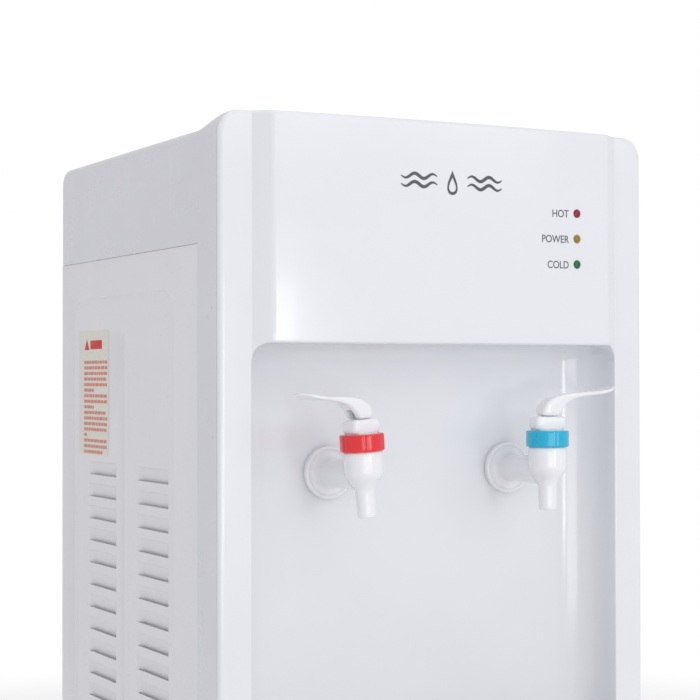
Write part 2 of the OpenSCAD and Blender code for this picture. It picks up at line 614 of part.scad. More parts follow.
module thermostats() color("tan") from_front() for (z = [hot_z0 + 92, hot_z0 + 116]) translate([hot_x, hot_y - hot_r - 0.1, z]) rotate([90, 0, 0]) {
  cylinder(r = 8, h = 1.4);
  translate([0, 0, 1.3]) cylinder(r = 6.6, h = 2.2);
}

// ---------------------------------------------------------------- cooler

block_y1 = cold_y + 82;
module cold_block() color("silver") from_front() difference() {
  box([-23, cold_y + 50, fan_z - 23], [23, block_y1, fan_z + 23]);
  translate([0, cold_y, fan_z - 40]) cylinder(r = cold_r + 0.1, h = 80);
}
module cooling_module() color("white") from_front() box([-20, block_y1 + 0.05, fan_z - 20], [20, block_y1 + 3.95, fan_z + 20]);
module heat_sink() color("silver") from_front() {
  box([-58, block_y1 + 4, fan_z - 52], [58, block_y1 + 9, fan_z + 52]);
  for (i = [0:15]) box([-58 + i * 7.6, block_y1 + 8.9, fan_z - 52], [-56 + i * 7.6, block_y1 + 34, fan_z + 52]);
}
fan_y = block_y1 + 35;
module fan_frame() color("dimgray") from_front() translate([0, fan_y, fan_z]) difference() {
  union() {
    difference() {
      box([-46, 0, -46], [46, 25, 46]);
      y_cylinder([0, -1, 0], 43.5, 30);
    }
    y_cylinder([0, 22, 0], 18, 3);
    for (a = [0:90:270]) rotate([0, a + 30, 0]) box([10, 22.5, -2], [44.5, 24.8, 2]);
  }
  y_cylinder([0, 20, 0], 2.1, 10);
  for (x = [-41, 41], z = [-41, 41]) y_cylinder([x, -1, z], 2.1, 30);
}
module fan_rotor() color("black") from_front() translate([0, fan_y, fan_z]) {
  y_cylinder([0, 3, 0], 18, 17);
  y_cylinder([0, 19.9, 0], 2, 4.6);
  for (a = [0:360 / 7:359]) rotate([0, a, 0])
    translate([16.5, 11, 0]) rotate([38, 0, 0]) box([0, -0.9, -10], [25, 0.9, 10]);
}

// ---------------------------------------------------------------- hoses and rear fittings

// Routes in the cabinet's frame. A curve passes through each point.
hot_route = [[-62, 88, 249], [-62, 88, 254], [-62, 88, 260], [-65.5, 82.5, 267], [-69, 75.5, 274], [-70.5, 69, 282],
  [-68.6, 64, 287.5], [-66.8, 60, 288.8], [-66.8, 56, 288.8]];
cold_route = [[40, 95, 267], [40, 95, 260], [40, 95, 253], [43, 91, 242], [50, 83, 236], [60, 74, 242], [67, 73, 258],
  [69.5, 75, 272], [68.5, 72, 284], [66.8, 64, 288.8], [66.8, 56, 288.8]];
feed_route = [[12, 84, 266], [12, 84, 260], [12, 84, 253], [12.5, 86, 235], [14, 93, 205], [15.5, 102, 170], [16, 110, 140],
  [15.5, 112, 122], [13, 112, 113.5], [8, 112, 110], [3, 112, 110], [-1, 112, 110]];
vent_route = [[-86, 96, 249.5], [-86, 96, 254], [-86, 96, 260], [-92, 94, 273], [-100, 95, 300], [-101, 104, 350],
  [-96, 114, 395], [-80, 122, 422], [-62, 126, 435], [-48, 128, 434], [-42, 128, 426], [-42, 128, 420], [-42, 128, 415],
  [-42, 128, 409]];
drain_route = [[-62, 112, 84], [-62, 112, 79], [-62, 112, 72], [-64, 119, 57], [-70, 145, 44], [-82, 185, 43], [-92, 225, 48],
  [-95, 248, 52], [-95, 256, 52], [-95, 266, 52]];
// Points along a Catmull-Rom curve through the route's own points.
function bend(a, b, c, d, t) = 0.5 * (2 * b + (c - a) * t + (2 * a - 5 * b + 4 * c - d) * t * t + (3 * b - a - 3 * c + d) * t * t * t);
function curve(p, n = 2) = let (m = len(p) - 1) concat(
  [for (i = [0:m - 1]) for (k = [0:n - 1]) bend(p[max(i - 1, 0)], p[i], p[i + 1], p[min(i + 2, m)], k / n)], [p[m]]
);
module hoses() color("whitesmoke") from_front() {
  hollow_tube(curve(hot_route), 6.6, 5);
  hollow_tube(curve(cold_route), 6.6, 5);
  hollow_tube(curve(feed_route), 6.6, 5);
  hollow_tube(curve(vent_route), 6.4, 4.9);
  hollow_tube(curve(drain_route), 6.4, 4.9);
}
module drain_outlet() color("whitesmoke") from_front() difference() {
  union() {
    y_cylinder([drain_x, 256, drain_z], port_r, 26);
    y_cylinder([drain_x, 281, drain_z], 13, body_d - 2.9 - 281);
    y_cylinder([drain_x, 287, drain_z], 8.5, body_d + 8 - 287);
  }
  y_cylinder([drain_x, 250, drain_z], 3.4, 60);
}
module drain_cap() color("white") from_front() difference() {
  union() {
    y_cylinder([drain_x, body_d - 1.4, drain_z], 12, 13.4);
    for (a = [0:30:330]) translate([drain_x, 0, drain_z]) rotate([0, a, 0]) y_cylinder([11.8, body_d - 1.4, 0], 0.7, 12.4);
  }
  y_cylinder([drain_x, body_d - 5, drain_z], 8.85, 15.2);
}
module drain_cap_liner() color("dimgray") from_front() y_cylinder([drain_x, body_d + 8 + gap, drain_z], 8.4, 1.6);
module switch_housings() color("dimgray") from_front() for (z = switch_z) difference() {
  y1 = body_d - 0.8 - sheet;
  union() {
    box([switch_x - 6.3, y1 - 16, z - 9.4], [switch_x + 6.3, y1 + 1, z + 9.4]);
    box([switch_x - 7.5, y1 + 0.05, z - 10.5], [switch_x + 7.5, y1 + 2, z + 10.5]);
  }
  box([switch_x - 4.9, y1 - 8, z - 8.8], [switch_x + 4.9, y1 + 5, z + 8.8]);
  translate([switch_x - 5.6, y1 - 2.4, z]) rotate([0, 90, 0]) cylinder(r = 1.3, h = 11.2);
}
// A rocker rests tipped with its lower end in, and turns about the pin in its cheeks.
module rocker(z) from_front() translate([switch_x, body_d - 0.8 - sheet - 2.4, z]) rotate([10, 0, 0]) {
  along_x(-4.6, 4.6) polygon([[-2.4, -7.3], [-4.6, 0], [-2.4, 7.3], [3.9, 7.6], [2.7, 0], [3.9, -7.6]]);
  translate([-5.5, 0, 0]) rotate([0, 90, 0]) cylinder(r = 1.2, h = 11);
}
module hot_switch() color("crimson") rocker(switch_z[1]);
module cold_switch() color("seagreen") rocker(switch_z[0]);
// Control board on the bracket's right leg, with its transformer, relays and capacitors.
board_x = 118;
module power_board() color("darkgreen") from_front() {
  box([board_x, 110, 38], [board_x + 1.6, 220, 122]);
  for (y = [116, 214], z = [44, 116]) translate([board_x + 1.5, y, z]) rotate([0, 90, 0]) cylinder(r = 3, h = 15.2);
  box([board_x - 30, 126, 62], [board_x + 0.1, 162, 100]);
  for (z = [50, 78]) box([board_x - 15, 178, z], [board_x + 0.1, 198, z + 20]);
  for (y = [176, 200]) translate([board_x - 22, y, 110]) rotate([0, 90, 0]) cylinder(r = 6, h = 22.1);
}
module cord_gland() color("dimgray") from_front() difference() {
  y1 = body_d - 0.8 - sheet;
  union() {
    y_cylinder([gland_x, y1 + 0.05, gland_z], 11, 3);
    y_cylinder([gland_x, y1 - 9, gland_z], 8, 10);
    y_cylinder([gland_x, y1 + 3, gland_z], 7, 6);
  }
  y_cylinder([gland_x, y1 - 20, gland_z], 3.7, 40);
}

base_pan();
rubber_feet();
front_panel();
cabinet_shell();
left_side_panel();
right_side_panel();
back_panel();
back_panel_screws();
rear_bumpers();
bottle_seat();
bottle_seat_gasket();
feed_probe();
drip_shelf();
drip_tray();
drip_grille();
lamp_hot();
lamp_power();
lamp_cold();
lamp_board();
hot_tap_body();
hot_tap_ring();
hot_tap_guide();
hot_tap_stem();
hot_tap_seal();
hot_tap_spring();
hot_tap_lever();
hot_tap_pin();
cold_tap_body();
cold_tap_ring();
cold_tap_guide();
cold_tap_stem();
cold_tap_seal();
cold_tap_spring();
cold_tap_lever();
cold_tap_pin();
tap_washers();
tap_lock_nuts();
cold_tank();
cold_tank_lid();
cold_tank_foam();
tank_bracket();
hot_tank();
hot_tank_foam();
hot_tank_stand();
heater_band();
thermostats();
cold_block();
cooling_module();
heat_sink();
fan_frame();
fan_rotor();
hoses();
drain_outlet();
drain_cap();
drain_cap_liner();
switch_housings();
hot_switch();
cold_switch();
cord_gland();
power_board();
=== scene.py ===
"""Looks of the countertop water dispenser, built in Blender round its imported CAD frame.

Lengths in the builders are millimetres in the cabinet's own frame: X to the right, Y back from
the front plane of the posts and Z up. FRONT turns them into the row frame, in metres."""
import random
from math import cos, degrees, exp, hypot, pi, radians, sin, sqrt

import bmesh
import bpy
from mathutils import Matrix, Vector
from mathutils.geometry import tessellate_polygon


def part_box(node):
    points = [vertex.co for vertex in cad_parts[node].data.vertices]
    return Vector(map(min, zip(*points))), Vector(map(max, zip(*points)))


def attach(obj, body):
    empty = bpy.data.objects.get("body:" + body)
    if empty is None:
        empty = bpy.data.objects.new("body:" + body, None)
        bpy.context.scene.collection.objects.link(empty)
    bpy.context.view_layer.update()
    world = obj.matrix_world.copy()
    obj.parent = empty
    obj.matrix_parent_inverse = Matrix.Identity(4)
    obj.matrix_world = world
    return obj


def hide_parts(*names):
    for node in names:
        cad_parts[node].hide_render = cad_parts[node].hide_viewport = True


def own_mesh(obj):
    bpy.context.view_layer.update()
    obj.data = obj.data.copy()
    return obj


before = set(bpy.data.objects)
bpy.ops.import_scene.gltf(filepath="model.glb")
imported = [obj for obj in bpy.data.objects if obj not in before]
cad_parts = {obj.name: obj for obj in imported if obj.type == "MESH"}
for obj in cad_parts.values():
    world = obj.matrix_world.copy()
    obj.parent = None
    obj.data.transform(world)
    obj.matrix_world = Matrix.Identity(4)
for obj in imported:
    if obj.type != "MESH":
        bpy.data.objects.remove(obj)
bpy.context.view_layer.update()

MM = 0.001
PAN_LO, PAN_HI = (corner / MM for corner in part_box("base_pan"))
FRONT = Matrix.Translation((0, PAN_LO.y * MM, 0)) @ Matrix.Scale(MM, 4)
HALF_W = PAN_HI.x
BODY_D = PAN_HI.y - PAN_LO.y
BODY_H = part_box("front_panel")[1].z / MM
BROW_DROP = 8.6
FLAT_TOP = BODY_H - BROW_DROP
BROW_R = 14.0
WALL = 2.6
POST_W = 21.8
INNER_X = HALF_W - POST_W
FACE_X = INNER_X - 10.8
RISE, BOW = 8.0, 4.0
NICHE_TOP, NICHE_D, NICHE_R = 369.8, 32.5, 25.0
PANEL_BOTTOM = 22.0
LEG_D = 33.0
SIDE_TOP = BODY_H - 78.8
SEAT_Y = 160.0
SHELF_OUT, SHELF_TOP = 56.0, 96.0
TRAY_LO, TRAY_HI, TRAY_R = (-112.0, -46.0), (112.0, 18.0), 12.0
FIELD = (73.5, 60.0, 259.0, 404.0)  # Y and Z of the recessed field's lowest and highest corners
FIELD_R = 20.0
LOUVRE_Y, LOUVRE_L, LOUVRE_H, LOUVRE_IN = (84.0, 179.0), 56.0, 9.3, 5.5
LOUVRE_TOP, LOUVRE_PITCH, LOUVRE_ROWS = 290.0, 15.6, 12
BEAD_Y = 159.5
LAMP_X, LAMP_Z, LAMP_R = 96.3, (456.0, 439.3, 422.6), 2.9
TAP_X, TAP_Z, TAP_OUT = 66.8, 288.8, 18.4
PANEL_Y = TAP_OUT + NICHE_D  # from a spout's axis to the niche's back, in the tap's frame
TURN = {"hot": 195.0, "cold": -6.0}
LEAN = {"hot": 4.0, "cold": 0.0}
FLUTE = {"hot": 10.0, "cold": 22.0}  # angle of a ring's first flute
SHANK_END = PANEL_Y - 3.0
CAP_HALF = (10.75, 6.75)  # half width and half depth of a tap's turning cap
PIN_Z, EYE_R, FORK = 41.0, 3.4, 2.7  # a lever's pin, the room round it and half the width between its cheeks
SEAT_HOLE_R = 103.0
MARK_Z = 472
FOOT_X, FOOT_IN = 128, 28
BUMPER_X, BUMPER_Z = 110, 390
GLAND_X, GLAND_Z = 100, 55
CAMERA_AT, CAMERA_TURN, CAMERA_LENS = (-0.5861, -1.1151, 0.3490), (90.859, 0.095, -27.652), 93.1
LAMPS = ("hot", "power", "cold")
SWITCH_X, SWITCH_Z = 85.0, {"hot": 145.0, "cold": 115.0}
OWN = Matrix.Identity(4)  # for a part that is cut in its own frame before it is placed
WELD = 1e-3  # vertices closer than this, in millimetres, are one


# ---------------- outlines and meshes

def arc(cx, cy, r, a0, a1, n=8):
    """Points on a circle from angle a0 to a1, in degrees."""
    angles = [radians(a0 + (a1 - a0) * i / n) for i in range(n + 1)]
    return [(cx + r * cos(a), cy + r * sin(a)) for a in angles]


def round_rect(lo, hi, r, n=6):
    """A rectangle with round corners, anticlockwise."""
    (x0, y0), (x1, y1) = lo, hi
    return (arc(x1 - r, y1 - r, r, 0, 90, n) + arc(x0 + r, y1 - r, r, 90, 180, n)
            + arc(x0 + r, y0 + r, r, 180, 270, n) + arc(x1 - r, y0 + r, r, 270, 360, n))


def at_x(x, points):
    """Flat (y, z) points, at X = x."""
    return [(x, y, z) for y, z in points]


def at_z(z, points):
    """Flat (x, y) points, at Z = z."""
    return [(x, y, z) for x, y in points]


def across(points, i):
    """Unit normal of a line of flat points, at point i."""
    (xa, ya), (xb, yb) = points[max(i - 1, 0)], points[min(i + 1, len(points) - 1)]
    length = hypot(xb - xa, yb - ya)
    return -(yb - ya) / length, (xb - xa) / length


def ease(t):
    """0 to 1 with level ends."""
    return (1 - cos(pi * min(max(t, 0), 1))) / 2


def blend_curve(points, t):
    """Value at t on a smooth curve through (t, value) points."""
    if t <= points[0][0]:
        return points[0][1]
    for i in range(len(points) - 1):
        (t1, v1), (t2, v2) = points[i], points[i + 1]
        if t <= t2:
            t0, v0 = points[max(i - 1, 0)]
            t3, v3 = points[min(i + 2, len(points) - 1)]
            span = t2 - t1
            m1 = (v2 - v0) / max(t2 - t0, 1e-6) * span
            m2 = (v3 - v1) / max(t3 - t1, 1e-6) * span
            s = (t - t1) / span
            return ((2 * s ** 3 - 3 * s * s + 1) * v1 + (s ** 3 - 2 * s * s + s) * m1
                    + (3 * s * s - 2 * s ** 3) * v2 + (s ** 3 - s * s) * m2)
    return points[-1][1]


class Build:
    """Vertices and faces gathered from several strips, welded into one mesh at the end."""

    def __init__(self):
        self.verts, self.faces = [], []

    def add(self, verts, faces):
        base = len(self.verts)
        self.verts += [tuple(v) for v in verts]
        self.faces += [[base + i for i in f] for f in faces]

    def copy(self, other, x, y, z):
        """Adds what another Build has gathered, moved by x, y and z."""
        self.add([(vx + x, vy + y, vz + z) for vx, vy, vz in other.verts], other.faces)

    def grid(self, rows, closed=False):
        """Quads between rows of points. closed joins each row's last point to its first."""
        n = len(rows[0])
        faces = []
        for i in range(len(rows) - 1):
            for k in range(n if closed else n - 1):
                a, b = i * n + k, i * n + (k + 1) % n
                faces.append([a, b, b + n, a + n])
        self.add([p for row in rows for p in row], faces)

    def cap(self, loop, holes=()):
        """A flat face inside a loop of points, with holes cut out of it."""
        loops = [[Vector(p) for p in loop]] + [[Vector(p) for p in h] for h in holes]
        if not holes:
            self.add(loops[0], [list(range(len(loop)))])
            return
        self.add([p for one in loops for p in one], tessellate_polygon(loops))

    def loft(self, loops):
        """A closed solid through loops of points, with a flat face at each end."""
        self.grid(loops, closed=True)
        self.cap(loops[0])
        self.cap(loops[-1])
        return self

    def lathe(self, profile, steps=64, radius=None):
        """Turns a profile of (radius, height) points about Z. radius(r, z, angle) may reshape it."""
        rows = []
        for i in range(steps):
            a = 2 * pi * i / steps
            row = []
            for r, z in profile:
                rr = radius(r, z, a) if radius else r
                row.append((rr * cos(a), rr * sin(a), z))
            rows.append(row)
        self.grid(rows + rows[:1])
        return self


def rod(r, z0, z1, steps):
    """A closed upright cylinder."""
    return Build().lathe([(0, z0), (r, z0), (r, z1), (0, z1)], steps)


def slab(points, z0, z1):
    """A closed upright block over a flat outline."""
    return Build().loft([at_z(z, points) for z in (z0, z1)])


def along_y(build):
    """Turns a lathe's axis from Z to +Y."""
    build.verts = [(x, z, -y) for x, y, z in build.verts]
    return build


def rework(mesh, weld=0.0, thin=0.0, outwards=True):
    """Welds vertices closer than weld, dissolves edges shorter than thin and turns normals outwards."""
    bm = bmesh.new()
    bm.from_mesh(mesh)
    if weld:
        bmesh.ops.remove_doubles(bm, verts=bm.verts, dist=weld)
    if thin:
        bmesh.ops.dissolve_degenerate(bm, edges=bm.edges, dist=thin)
    if outwards:
        bmesh.ops.recalc_face_normals(bm, faces=bm.faces)
    bm.to_mesh(mesh)
    bm.free()


def link(name, data):
    """A new object in the scene."""
    obj = bpy.data.objects.new(name, data)
    bpy.context.scene.collection.objects.link(obj)
    return obj


def to_mesh(name, build, matrix=FRONT):
    """A Blender object from a Build, welded, with its normals outwards, moved into the row frame."""
    mesh = bpy.data.meshes.new(name)
    mesh.from_pydata(build.verts, [], build.faces)
    rework(mesh, WELD, WELD)
    mesh.transform(matrix)
    mesh.update()
    return link(name + "_look", mesh)


def modify(obj, kind, **settings):
    """Adds one modifier and applies it."""
    modifier = obj.modifiers.new(kind.lower(), kind)
    for key, value in settings.items():
        setattr(modifier, key, value)
    graph = bpy.context.evaluated_depsgraph_get()
    mesh = bpy.data.meshes.new_from_object(obj.evaluated_get(graph))
    obj.modifiers.clear()
    obj.data = mesh


def thicken(obj, thickness, offset=-1, even=True):
    """Gives an open skin its wall thickness, and turns the closed result's normals outwards."""
    modify(obj, "SOLIDIFY", thickness=thickness * MM, offset=offset, use_even_offset=even)
    rework(obj.data)
    return obj


def cut(obj, build, matrix=FRONT, operation="DIFFERENCE"):
    """Cuts a closed Build out of obj, or joins it on."""
    tool = to_mesh("tool", build, matrix)
    modify(obj, "BOOLEAN", operation=operation, object=tool, solver="EXACT")
    bpy.data.objects.remove(tool)


def paint(mesh, material):
    """Gives every face the one material."""
    mesh.materials.clear()
    mesh.materials.append(material)
    mesh.polygons.foreach_set("material_index", [0] * len(mesh.polygons))


def piece(obj, body, material, crease=32):
    """Shades a piece, gives it its material, and makes it ride on its CAD body."""
    paint(obj.data, material)
    obj.data.shade_smooth()
    obj.data.set_sharp_from_angle(angle=radians(crease))
    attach(obj, body)


def stand_in(obj, body, material, crease=32):
    """A piece that shows instead of the CAD node that it is named after."""
    piece(obj, body, material, crease)
    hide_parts(obj.name.removesuffix("_look"))


# ---------------- materials

class Nodes:
    """A material's node tree, with short ways to add the nodes that this script uses."""

    def __init__(self, name):
        self.mat = bpy.data.materials.new(name)
        self.mat.use_nodes = True
        self.tree = self.mat.node_tree
        self.shader = self.tree.nodes["Principled BSDF"]
        self.coord = self.tree.nodes.new("ShaderNodeTexCoord").outputs["Object"]

    def node(self, kind, **inputs):
        node = self.tree.nodes.new("ShaderNode" + kind)
        for key, value in inputs.items():
            self.put(node.inputs[key.replace("_", " ")], value)
        return node

    def put(self, socket, value):
        if isinstance(value, bpy.types.NodeSocket):
            self.tree.links.new(value, socket)
        else:
            socket.default_value = value

    def noise(self, scale, detail=3.0, rough=0.5, vector=None):
        return self.node("TexNoise", Vector=vector or self.coord, Scale=scale, Detail=detail,
                         Roughness=rough).outputs["Fac"]

    def stretched(self, x, y, z):
        mapping = self.node("Mapping", Vector=self.coord)
        mapping.inputs["Scale"].default_value = (x, y, z)
        return mapping.outputs["Vector"]

    def remap(self, value, lo, hi, from_lo=0.3, from_hi=0.7):
        node = self.node("MapRange", Value=value)
        for key, number in (("From Min", from_lo), ("From Max", from_hi), ("To Min", lo), ("To Max", hi)):
            node.inputs[key].default_value = number
        return node.outputs["Result"]

    def mix(self, factor, a, b):
        node = self.tree.nodes.new("ShaderNodeMix")
        node.data_type = "RGBA"
        self.put(node.inputs["Factor"], factor)
        self.put(node.inputs["A"], a)
        self.put(node.inputs["B"], b)
        return node.outputs["Result"]

    def bump(self, height, distance, strength=1.0, normal=None):
        node = self.node("Bump", Height=height, Distance=distance, Strength=strength)
        if normal:
            self.tree.links.new(normal, node.inputs["Normal"])
        return node.outputs["Normal"]

    def finish(self, **inputs):
        for key, value in inputs.items():
            self.put(self.shader.inputs[key.replace("_", " ")], value)
        return self.mat


def srgb(r, g, b):
    """Linear colour from an 8-bit display colour."""
    def linear(c):
        c /= 255
        return c / 12.92 if c <= 0.04045 else ((c + 0.055) / 1.055) ** 2.4
    return (linear(r), linear(g), linear(b), 1.0)


def shade(colour, k):
    return tuple(min(c * k, 1.0) for c in colour[:3]) + (1.0,)


def moulded_plastic(name, colour, rough=0.2, peel=0.5, grain=900, coat=0.0, depth=0.00002, glow=0.0):
    """Moulded plastic: faint mottling from the melt, uneven gloss and a slight orange peel."""
    n = Nodes(name)
    tone = n.remap(n.noise(14, 4), 0, 1)
    dust = n.remap(n.noise(900, 2), 0, 1, 0.64, 0.8)
    base = n.mix(dust, n.mix(tone, shade(colour, 0.985), shade(colour, 1.01)), shade(colour, 0.99))
    gloss = n.remap(n.noise(45, 3), rough * 0.8, rough * 1.25)
    waves = n.bump(n.noise(110, 1), 0.00012 * peel, 0.35)
    fine = n.bump(n.noise(grain, 2), depth, 0.6, waves)
    return n.finish(Base_Color=base, Roughness=gloss, Normal=fine, Coat_Weight=coat, Coat_Roughness=0.06,
                    Subsurface_Weight=glow, Subsurface_Radius=(0.004, 0.004, 0.004), IOR=1.5)


def coated_steel(name, colour):
    """Powder-coated sheet: fine orange peel, specks and a dull sheen."""
    n = Nodes(name)
    base = n.mix(n.remap(n.noise(9, 4), 0, 1), shade(colour, 0.98), shade(colour, 1.01))
    base = n.mix(n.remap(n.noise(420, 2), 0, 1, 0.64, 0.78), base, shade(colour, 0.9))
    peel = n.bump(n.noise(650, 3), 0.00005, 0.8)
    return n.finish(Base_Color=base, Roughness=n.remap(n.noise(60, 3), 0.34, 0.46), Normal=peel)


def galvanised(name):
    """Zinc-coated sheet with its spangle."""
    n = Nodes(name)
    cells = n.node("TexVoronoi", Vector=n.coord, Scale=160.0)
    tone = n.node("SeparateColor", Color=cells.outputs["Color"]).outputs[0]
    base = n.mix(tone, srgb(164, 167, 171), srgb(196, 199, 203))
    base = n.mix(n.remap(n.noise(12, 4), 0, 0.3), base, srgb(140, 142, 144))
    return n.finish(Base_Color=base, Metallic=1.0, Roughness=n.remap(tone, 0.32, 0.5, 0, 1),
                    Normal=n.bump(n.noise(500, 3), 0.00003, 0.6))


def brushed(name, colour, along="x", rough=0.28):
    """Brushed metal: scratches along one axis."""
    n = Nodes(name)
    scale = {"x": (12, 900, 900), "y": (900, 12, 900), "z": (900, 900, 12)}[along]
    lines = n.noise(1.0, 4, 0.6, n.stretched(*scale))
    base = n.mix(n.remap(lines, 0, 1), shade(colour, 0.88), shade(colour, 1.06))
    base = n.mix(n.remap(n.noise(20, 3), 0, 0.35), base, shade(colour, 0.8))
    return n.finish(Base_Color=base, Metallic=1.0, Roughness=n.remap(lines, rough * 0.75, rough * 1.3),
                    Normal=n.bump(lines, 0.00002, 0.7))


def rubber(name, colour):
    n = Nodes(name)
    base = n.mix(n.remap(n.noise(90, 4), 0, 1), shade(colour, 0.8), shade(colour, 1.25))
    return n.finish(Base_Color=base, Roughness=n.remap(n.noise(240, 3), 0.6, 0.85),
                    Normal=n.bump(n.noise(1100, 3), 0.00004, 0.9))


def foam_jacket(name, colour):
    """Expanded foam: beads with soft seams."""
    n = Nodes(name)
    beads = n.node("TexVoronoi", Vector=n.coord, Scale=330.0)
    seams = beads.outputs["Distance"]
    base = n.mix(n.remap(seams, 0, 1, 0.1, 0.75), shade(colour, 1.02), shade(colour, 0.72))
    return n.finish(Base_Color=base, Roughness=0.9, Normal=n.bump(seams, 0.0005, -0.6),
                    Subsurface_Weight=0.1, Subsurface_Radius=(0.003, 0.003, 0.003))


def lens(name, colour):
    """Tinted, cast lamp lens with tiny bubbles."""
    n = Nodes(name)
    base = n.mix(n.remap(n.noise(700, 2), 0, 1), shade(colour, 0.82), shade(colour, 1.2))
    return n.finish(Base_Color=base, Roughness=n.remap(n.noise(300, 2), 0.08, 0.2), Coat_Weight=0.15,
                    Coat_Roughness=0.04, Subsurface_Weight=0.1, Subsurface_Radius=(0.002, 0.001, 0.001),
                    Normal=n.bump(n.noise(900, 1), 0.00002, 0.5))


def circuit_board(name):
    """Green solder mask with lighter tracks under it."""
    n = Nodes(name)
    tracks = n.node("TexBrick", Vector=n.coord, Scale=130.0, Mortar_Size=0.02, Brick_Width=0.9,
                    Row_Height=0.24)
    for key, colour in (("Color1", (18, 92, 52)), ("Color2", (24, 104, 60)), ("Mortar", (64, 150, 88))):
        tracks.inputs[key].default_value = srgb(*colour)
    spots = n.remap(n.noise(500, 2), 0, 1, 0.66, 0.72)
    return n.finish(Base_Color=n.mix(spots, tracks.outputs["Color"], srgb(190, 170, 110)), Roughness=0.32,
                    Normal=n.bump(tracks.outputs["Fac"], 0.00005, -0.5))


def printed(name, colour):
    """Screen-printed ink, a little uneven."""
    n = Nodes(name)
    base = n.mix(n.remap(n.noise(1500, 3), 0, 1), shade(colour, 0.9), shade(colour, 1.15))
    return n.finish(Base_Color=base, Roughness=0.45, Normal=n.bump(n.noise(2500, 2), 0.00001, 0.5))


WHITE = moulded_plastic("white_abs", srgb(233, 234, 238), 0.16, 0.5, 1400, 0.25)
SHELL = moulded_plastic("shell_abs", srgb(224, 224, 229), 0.3, 0.15, 1100, 0.0, 0.000006)
TAP = moulded_plastic("tap_plastic", srgb(240, 240, 243), 0.2, 0.4, 1500, 0.3, glow=0.12)
GREY = moulded_plastic("grey_plastic", srgb(150, 152, 156), 0.35)
BLACK = moulded_plastic("black_plastic", srgb(38, 39, 42), 0.4, 0.8, 700)
STEEL = coated_steel("coated_steel", srgb(234, 233, 236))
ZINC = galvanised("galvanised_steel")
STAINLESS = brushed("stainless_steel", srgb(205, 206, 208))
ALUMINIUM = brushed("aluminium", srgb(214, 215, 218), "z", 0.36)
CHROME = brushed("chrome", srgb(222, 224, 228), "z", 0.1)
RUBBER = rubber("black_rubber", srgb(36, 36, 38))
SILICONE = moulded_plastic("silicone", srgb(222, 222, 220), 0.42, glow=0.3)
FOAM = foam_jacket("foam", srgb(214, 214, 216))
RED = moulded_plastic("hot_red", srgb(232, 40, 46), 0.22, 0.4, 1500, 0.3, glow=0.08)
BLUE = moulded_plastic("cold_blue", srgb(8, 178, 214), 0.22, 0.4, 1500, 0.3, glow=0.08)
LENSES = {"hot": lens("lens_red", srgb(140, 0, 26)), "power": lens("lens_amber", srgb(146, 122, 0)),
          "cold": lens("lens_green", srgb(0, 98, 58))}
BOARD = circuit_board("circuit_board")
CERAMIC = moulded_plastic("ceramic", srgb(238, 236, 228), 0.5)
SWITCHES = {"hot": moulded_plastic("switch_red", srgb(190, 28, 34), 0.25),
            "cold": moulded_plastic("switch_green", srgb(24, 134, 70), 0.25)}
INK = printed("panel_ink", srgb(84, 84, 90))
LABEL_PAPER = printed("label_paper", srgb(226, 222, 212))
LABEL_INK = printed("label_ink", srgb(212, 134, 118))
LABEL_RED = printed("label_red", srgb(205, 40, 36))


# ---------------- front panel

def bow(x):
    """Depth of the front face over the niche: posts, flanks and the bowed middle panel."""
    x = abs(x)
    if x >= INNER_X:
        return 0.0
    flank = -RISE * (INNER_X - x) / (INNER_X - FACE_X)
    middle = -RISE - BOW * (1 - (x / FACE_X) ** 2)
    edge = 1.2  # softens the fold between the two
    h = min(max(0.5 + 0.5 * (flank - middle) / edge, 0), 1)
    return middle + (flank - middle) * h + edge * h * (1 - h)


def niche_depth(x):
    """Depth of the niche's wall, round into its upright corners."""
    x, c = abs(x), INNER_X - NICHE_R
    if x >= INNER_X + 1:
        return 0.0
    if x > INNER_X:
        return 1 - sqrt(1 - (INNER_X + 1 - x) ** 2)
    if x > c:
        return NICHE_D - NICHE_R + sqrt(max(NICHE_R ** 2 - (x - c) ** 2, 0))
    return NICHE_D


def niche_head(x):
    """Height of the niche's ceiling, which has round corners."""
    r = 10.0
    x = min(abs(x), INNER_X)
    if x <= INNER_X - r:
        return NICHE_TOP
    return NICHE_TOP - r + sqrt(max(r * r - (x - INNER_X + r) ** 2, 0))


def brow_top(x):
    """Height of the brow's top edge, round into its outer corners."""
    over = max(abs(x) - (HALF_W - BROW_R), 0)
    return BODY_H - BROW_R + sqrt(max(BROW_R ** 2 - over ** 2, 0))


def edge_roll(x, z, r=3.0):
    """How far the rolled outer edge falls back from the front face."""
    cx, cz = HALF_W - BROW_R, BODY_H - BROW_R
    if abs(x) > cx and z > cz:
        d = BROW_R - hypot(abs(x) - cx, z - cz)
    else:
        d = min(HALF_W - abs(x), BODY_H - z)
    d = min(max(d, 0), r)
    return r - sqrt(r * r - (r - d) ** 2)


def panel_columns():
    """X of the front panel's columns, closer together where it curves."""
    right = [x for x, _ in arc(HALF_W - BROW_R, 0, BROW_R, 0, 90, 18)]
    right += [138, INNER_X + 1.4, INNER_X + 1, INNER_X + 0.6, INNER_X + 0.25]
    right += [INNER_X - NICHE_R + NICHE_R * cos(radians(a)) for a in range(0, 91, 4)]
    right += [FACE_X + d for d in (-2.4, -1.6, -0.8, 0, 0.8, 1.6, 2.4)]
    right += [i * 9 for i in range(12)]
    right = sorted(set(round(x, 4) for x in right))
    return [-x for x in reversed(right) if x > 0] + right


